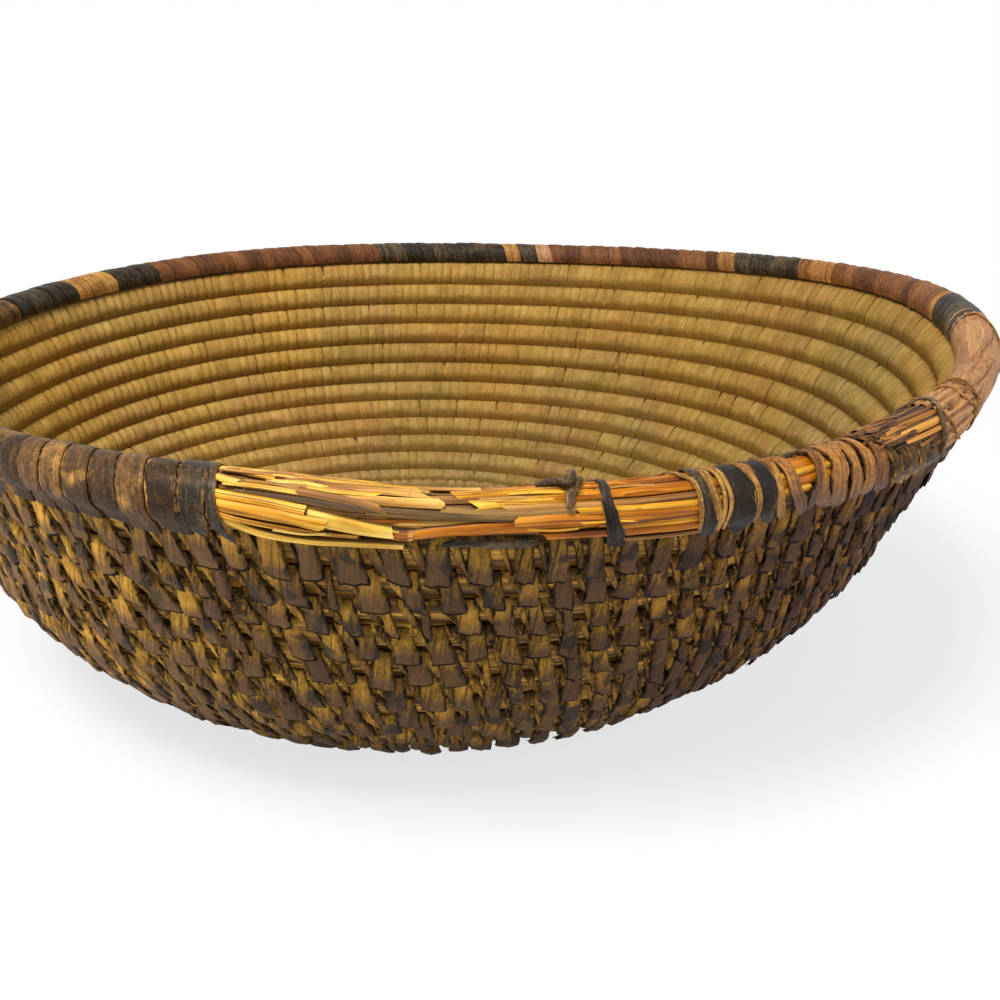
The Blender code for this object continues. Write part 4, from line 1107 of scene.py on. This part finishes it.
# Splints over the worn stretch right of the bare straw: colour, then the path
WRAPS = [
    ("black", [(21, 215, 0.15, 2.2), (21.3, 160, 0.25, 2.4), (22, 107, 0.35, 2.7), (22.3, 54, 0.35, 3.3),
     (22.6, 15, 0.45, 2.9), (23, -34, 0.95, 2.5), (23, -46, 1.95, 1.5), (23, -50, 2.45, 0.3)]),
    ("tan", [(22.3, 215, 0.25, 0.5), (22.6, 160, 0.45, 0.5), (23.2, 100, 0.65, 0.5), (23.75, 53, 0.75, 0.6),
     (23.9, 20, 0.75, 0.6), (24, -25, 0.95, 0.4)]),
    ("orange", [(23.2, 215, 0.15, 0.6), (23.4, 160, 0.25, 0.6), (23.7, 100, 0.3, 0.6),
     (23.9, 70, 0.15, 0.5)]),
    ("black", [(23.9, 215, 0.15, 1.6), (24.2, 150, 0.25, 1.6), (24.7, 98, 0.35, 1.6), (24.75, 55, 0.4, 2),
     (24.85, 0, 0.55, 1.7), (25.4, -30, 1.05, 1.3), (25.9, -44, 1.65, 0.3)]),
    ("tan", [(24.8, 215, 0.15, 0.8), (25.2, 160, 0.2, 0.8), (25.9, 101, 0.3, 0.9), (25.75, 57, 0.35, 0.9),
     (25.9, 17, 0.45, 0.9), (26.6, -27, 0.95, 0.8), (26.9, -38, 1.45, 0.2)]),
    ("orange", [(25.3, 215, 0.15, 1.3), (25.9, 150, 0.25, 1.3), (26.8, 105, 0.45, 1.5), (26.95, 75, 0.5, 1.4),
     (27.15, 35, 0.55, 1.3), (27.95, 0, 0.65, 1.4), (28.5, -25, 1.05, 1.2), (28.95, -43, 1.65, 0.3)]),
    ("orange", [(29.9, 215, 0.15, 0.9), (30.3, 150, 0.2, 0.9), (30.5, 100, 0.2, 0.9), (30.1, 60, 0.3, 1.05),
     (30, 13, 0.35, 1.8), (31, -25, 0.85, 1.4), (31.9, -44, 1.55, 0.25)]),
    ("orange", [(29.3, 215, 0.15, 1.1), (29.9, 150, 0.35, 1.2), (30.15, 118, 0.45, 1.15),
     (29.9, 74, 0.6, 0.85), (29.45, 35, 0.75, 0.75), (29.1, 5, 0.85, 1), (29.4, -31, 1.05, 0.25)]),
    ("orange", [(31.2, 215, 0.15, 2.2), (31.6, 160, 0.25, 2.5), (31.95, 118, 0.45, 2.7), (31.95, 71, 0.55, 2),
     (31.65, 23, 0.65, 2.1), (32.3, -25, 1.05, 2), (32.9, -44, 1.65, 1.5), (33.2, -50, 2.25, 0.3)]),
    ("orange", [(32.9, 215, 0.15, 1.6), (33.2, 160, 0.2, 1.7), (33.5, 111, 0.3, 1.7), (33.6, 56, 0.35, 1.1),
     (33.9, 5, 0.45, 1.6), (34.5, -25, 0.95, 1.3), (35.1, -45, 1.65, 0.25)]),
    ("orange", [(34.1, 215, 0.15, 1), (34.4, 160, 0.25, 1), (34.7, 103, 0.45, 0.9), (35.1, 57, 0.55, 1.35),
     (35.3, 8, 0.65, 1.8), (35.8, -25, 1.05, 1.4), (36.3, -44, 1.65, 0.25)]),
    ("orange", [(35.3, 215, 0.15, 0.9), (35.8, 150, 0.25, 0.9), (36.15, 89, 0.35, 0.7), (36.25, 56, 0.4, 0.9),
     (36.4, 8, 0.45, 0.8), (37.4, -25, 0.95, 1), (38.4, -48, 1.95, 0.25)]),
    ("orange", [(36.3, 215, 0.1, 1.2), (36.6, 150, 0.15, 1.2), (36.8, 90, 0.15, 1.2), (37, 40, 0.25, 1.1),
     (37.4, 0, 0.4, 1.1), (38.1, -25, 0.95, 1), (38.7, -44, 1.6, 0.3)]),
]


def wrapping(dice, looks):
    """The bands of splints round the rim, with the front's seams where the photograph shows them."""
    names = ("brown", "red", "black", "tan", "orange", "pink")
    surfaces = {name: Surface() for name in names}
    nodes = {name: [] for name in names}
    for name, first, last, node in BANDS:
        loops(surfaces[name], dice, spread_seams(dice, first, last), anchor=BACK_ANCHOR)
        nodes[name].append(f"band_{node}")
    for first, last in zip(FRONT_SEAMS, FRONT_SEAMS[1:]):
        loops(surfaces["brown"], dice, [first + 0.05, last - 0.05], end=dice.uniform(-5, -4.4))
    ribbon(surfaces["black"], dice, BLACK_STRAP, 0.75, 0.8)
    for name, path in WRAPS:
        tone = dice.uniform(-0.5, 0) if name == "black" else dice.uniform(0, 1)
        ribbon(surfaces[name], dice, path, tone, 1)
    loops(surfaces["orange"], dice, [93.5, 95.2], anchor=BACK_ANCHOR)
    for number in range(7):
        first = 38 + 1.15 * number
        upper, middle, lower = dice.uniform(0.7, 1.3, 3)
        path = [(first - 0.6, 215, -0.2, 1.3), (first - 0.3, 150, -0.6, 1.3), (first - 0.1, 100, -1.2, 1.2),
                (first + 0.4, 45, -0.4, upper), (first + 1.2, 5, dice.uniform(0, 0.8), middle),
                (first + 2.2, -28, 0.9, lower), (first + 3, dice.uniform(-50, -34), 1.8, 0.3)]
        ribbon(surfaces["brown"], dice, path, dice.uniform(0, 0.8), 0.9)
    nodes["black"] += ["band_black_front", "band_black_right"]
    nodes["orange"].append("band_tan_right")
    for name, surface in surfaces.items():
        surface.piece(f"wrap_{name}", looks[f"splint_{name}"], f"{name}_splint", nodes[name])


# Loose hairs by the twine and stubble on the worn wrapping: count, radius (mm) and the ranges of hairs()
PALE_HAIRS = [
    (16, 0.09, (46, 58), (120, 165), (5, 11), (0.25, 0.5), (-1, 0.4)),
    (22, 0.07, (-13, 8), (60, 130), (1.5, 4), (0.1, 0.35), (-1, 1)),
]
DARK_STUBBLE = [
    (420, 0.12, (22, 39), (112, 150), (0.5, 1.6), (0.5, 1), (-0.6, 0.6)),
    (50, 0.1, (19, 25), (110, 140), (0.4, 1), (0.5, 1), (-0.6, 0.6)),
    (110, 0.14, (37.5, 46.5), (-30, 30), (1.5, 5), (0.1, 0.35), (-0.5, 1)),
    (50, 0.1, (-1, 7.5), (-38, -24), (0.8, 2.4), (0.2, 0.6), (-1, 1)),
]


def frayed_fibres(dice, name, tufts, material, slot):
    """All the tufts of one colour."""
    surface = Surface()
    for tuft in tufts:
        hairs(surface, dice, *tuft)
    surface.piece(name, material, slot)


def make_camera():
    """The photograph's view: a phone held close over the front of the rim."""
    camera = place_object("camera", bpy.data.cameras.new("camera"))
    camera.data.sensor_width = 36
    camera.data.lens = CAMERA_LENS
    camera.data.clip_start = 0.01
    yaw, pitch, roll = CAMERA_YAW, CAMERA_PITCH, CAMERA_ROLL
    ahead = Vector((math.sin(yaw) * math.cos(pitch), math.cos(yaw) * math.cos(pitch), -math.sin(pitch)))
    right = Vector((math.cos(yaw), -math.sin(yaw), 0))
    top = right.cross(ahead)
    side = right * math.cos(roll) + top * math.sin(roll)
    upright = top * math.cos(roll) - right * math.sin(roll)
    turn = Matrix((side, upright, -ahead)).transposed().to_4x4()
    camera.matrix_world = Matrix.Translation(CAMERA_PLACE) @ turn
    bpy.context.scene.camera = camera


def make_light(name, place, size, power):
    """A soft lamp that looks at the basket."""
    data = bpy.data.lights.new(name, "AREA")
    data.shape = "DISK"
    data.size = size
    data.energy = power
    lamp = place_object(name, data)
    lamp.location = place
    lamp.rotation_euler = (Vector(LAMP_TARGET) - Vector(place)).to_track_quat("-Z", "Y").to_euler()


def camera_white(n, output, share, surface):
    """Show a surface mixed with plain white to the rays of the camera and of reflections only."""
    path = n.node("LightPath")
    seen = n.math("MAXIMUM", path["Is Camera Ray"], path["Is Glossy Ray"])
    white = n.node("Emission")[0]
    n.fill(output, {"Surface": n.node("MixShader", n.math("MULTIPLY", seen, share), surface, white)[0]})


def make_stage(floor_height):
    """A white floor and sky, plain white to the camera, but the floor keeps a soft shadow."""
    bpy.ops.mesh.primitive_plane_add(size=FLOOR_SIZE, location=(0, 0, floor_height))
    floor = bpy.context.object
    floor.name = "floor"
    n = Nodes(bpy.data.materials.new("floor_white"))
    matt = {"Base Color": (0.9, 0.9, 0.9, 1), "Roughness": 0.9, "Specular IOR Level": 0}
    n.fill("Principled BSDF", matt)
    away = n.node("VectorMath", n.place(), operation="LENGTH")["Value"]
    shader = n.tree.nodes["Principled BSDF"].outputs[0]
    camera_white(n, "Material Output", n.ramp(away, 0.16, 0.45, 0.72, 1), shader)
    floor.data.materials.append(n.owner)
    floor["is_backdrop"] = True
    world = bpy.data.worlds.new("studio")
    bpy.context.scene.world = world
    n = Nodes(world)
    n.fill("Background", {"Color": (1, 1, 1, 1), "Strength": WORLD_LIGHT})
    camera_white(n, "World Output", 1, n.tree.nodes["Background"].outputs[0])


# Straw: its dark, middle and light colours, gloss, and how strong its ribs are where they aren't plain
STRAW_LOOKS = {
    "foundation_straw": ((60, 40, 14), (148, 106, 36), (200, 154, 64), 0.5),
    "core_straw": ((44, 28, 12), (100, 70, 30), (146, 108, 50), 0.55),
    "straw_pale": ((150, 102, 26), (214, 168, 62), (246, 222, 132), 0.3, 0.7),
    "straw_gold": ((120, 70, 10), (196, 134, 24), (232, 184, 68), 0.3),
    "straw_amber": ((106, 52, 2), (174, 100, 2), (206, 134, 12), 0.25, 0.3),
    "straw_tan": ((112, 72, 26), (180, 128, 54), (222, 176, 92), 0.4),
    "straw_orange": ((100, 50, 8), (170, 98, 20), (206, 134, 40), 0.35),
    "straw_brown": ((84, 50, 22), (146, 98, 46), (186, 136, 70), 0.45),
    "straw_grey": ((54, 36, 20), (104, 76, 40), (150, 114, 60), 0.5),
    "splinter_gold": ((76, 40, 5), (156, 99, 25), (208, 149, 64), 0.4, 1.3),
    "splinter_tan": ((52, 30, 14), (118, 80, 42), (170, 124, 74), 0.45, 1.3),
    "splinter_orange": ((50, 24, 7), (120, 69, 26), (166, 108, 51), 0.4, 1.3),
    "splinter_brown": ((28, 15, 7), (84, 52, 28), (136, 92, 54), 0.5, 1.3),
    "bark_peel": ((126, 86, 50), (160, 114, 68), (188, 142, 90), 0.5, 0.6),
    "stubble_dark": ((34, 28, 22), (64, 54, 40), (110, 90, 60), 0.6),
}

# Splints: dark, middle, light, worn tip (painted shade in the grooves on the inner and base splints), edge
# (worn edges; painted shade on the outer, inner, base and orange splints), gloss, and what splint_material
# names
# Left, right and the far-left boost, here and in the inner splint, are painted light and shade across the
# basket.
OUTSIDE = dict(shine=0.06, relief=0.5, left=1.75, right=0.62, painted_glow=0.75, tinge=(1.2, 1, 1.35, 1))
CLOUDS = [(15, (0.9, 0.99, 1.2, 1)), (27, (1, 0.92, 1, 1)), (60, (0.92, 0.9, 0.86, 1))]
SPLINT_LOOKS = {
    "outer_splint": ((44, 30, 13), (128, 94, 34), (176, 134, 52), (72, 54, 42), (4, 3, 1), 0.5,
        dict(tip_from=0.34, streaks=0.6, odd=(44, 40, 36), rich=(154, 110, 48), painted_under_shade=0.7, **OUTSIDE)),
    "outer_leg": ((40, 27, 13), (118, 86, 34), (166, 126, 54), (74, 55, 38), (4, 3, 1), 0.5,
        dict(tip_from=0.55, streaks=0.7, rich=(146, 100, 46), painted_under_shade=0.65, **OUTSIDE)),
    "inner_splint": ((154, 116, 48), (184, 143, 67), (208, 168, 89), (126, 88, 24), (134, 98, 38), 0.6,
        dict(tip_from=0.36, streaks=0.3, shine=0.1, relief=0.15, left=0.94, right=0.72, clouds=CLOUDS,
             low=(0.86, 0.94, 1.25, 1), tinge=(0.95, 1, 1.1, 1))),
    "base_splint": ((128, 101, 57), (155, 124, 73), (171, 141, 87), (104, 82, 44), (96, 74, 38), 0.65,
        dict(tip_from=0.6, streaks=0.4, shine=0.1, relief=0.15)),
    "splint_brown": ((38, 24, 11), (79, 54, 27), (130, 92, 48), (52, 37, 28), (206, 150, 72), 0.32,
        dict(tip_from=0.66, streaks=0.7, patches=0.6, shine=0.12, relief=0.15)),
    "splint_red": ((66, 36, 17), (108, 67, 36), (142, 94, 54), (84, 56, 34), (140, 98, 54), 0.42,
        dict(tip_from=0.75, streaks=0.5, shine=0.15, relief=0.15)),
    "splint_black": ((20, 15, 9), (43, 34, 21), (92, 76, 53), (44, 36, 30), (150, 104, 48), 0.3,
        dict(tip_from=0.66, streaks=0.9, patches=0.25, shine=0.14, relief=0.2)),
    "splint_tan": ((108, 70, 30), (156, 108, 52), (196, 148, 78), (96, 72, 46), (86, 56, 30), 0.42,
        dict(tip_from=0.7, shine=0.15, relief=0.15)),
    "splint_orange": ((88, 52, 22), (142, 93, 44), (188, 134, 70), (80, 65, 57), (30, 18, 9), 0.42,
        dict(tip_from=0.46, streaks=0.8, shine=0.12, relief=0.22)),
    "splint_pink": ((112, 72, 46), (156, 110, 74), (188, 144, 100), (100, 74, 54), (104, 72, 46), 0.42,
        dict(tip_from=0.75)),
    "bark": ((112, 70, 36), (160, 112, 66), (194, 144, 92), (56, 33, 18), (104, 70, 42), 0.45,
        dict(tip_from=0.3, streaks=0.7)),
    "stitch_black": ((16, 12, 8), (38, 29, 20), (92, 72, 46), (17, 14, 12), (146, 98, 42), 0.28,
        dict(tip_from=0.45, shine=0.16, relief=0.12)),
    "stitch_grey": ((48, 34, 20), (88, 66, 42), (134, 106, 70), (60, 46, 30), (62, 43, 26), 0.45,
        dict(shine=0.15)),
    "twine_tan": ((80, 52, 20), (136, 96, 44), (182, 136, 70), (86, 58, 26), (86, 58, 26), 0.5,
        dict(shine=0.15)),
}

# Lamps: name, place and width in metres, power in watts
LAMPS = [("lamp_top", (-0.25, -0.45, 0.95), 0.5, 13.5), ("lamp_side", (0.9, -0.3, 0.5), 0.6, 2.5),
         ("lamp_left", (-0.8, -0.5, 0.12), 0.5, 2.4)]
LAMP_TARGET = (0, 0, 0.04)
FLOOR_SIZE = 12


def main():
    bpy.context.scene.view_settings.view_transform = "Standard"
    make_camera()
    for lamp in LAMPS:
        make_light(*lamp)
    looks = {name: straw_material(name, *values) for name, values in STRAW_LOOKS.items()}
    for name, (*values, options) in SPLINT_LOOKS.items():
        looks[name] = splint_material(name, *values, **options)

    straw, outer, leg = looks["foundation_straw"], looks["outer_splint"], looks["outer_leg"]
    foundation("base_foundation", FIRST_TURN, BASE_TURNS, straw, ["base_coil"])
    foundation("wall_foundation", BASE_TURNS, LAST_TURN, straw, ["wall_coil"])
    dice = np.random.default_rng(SEED)
    turns, widths = stitch_places(dice)
    base = turns < BASE_TURNS
    for name, part in (("base", base), ("wall", ~base)):
        outer_tags(f"{name}_outer_tags", turns[part], widths[part], dice, outer)
        outer_tags(f"{name}_outer_legs", turns[part], widths[part], dice, leg, leg=True)
    inner_beads("base_inner_beads", turns[base], widths[base], dice, looks["base_splint"])
    inner_beads("wall_inner_beads", turns[~base], widths[~base], dice, looks["inner_splint"])
    knot_rosette(dice, looks["base_splint"])

    rim_core(looks["core_straw"])
    for build in (bare_straws, broken_end, wrapping, bark_strip, lashings):
        build(dice, looks)
    frayed_fibres(dice, "hairs", PALE_HAIRS, looks["straw_tan"], "tan_splint")
    frayed_fibres(dice, "stubble", DARK_STUBBLE, looks["stubble_dark"], "black_splint")
    make_stage(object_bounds()[0][2] - 0.1 * MM)


main()
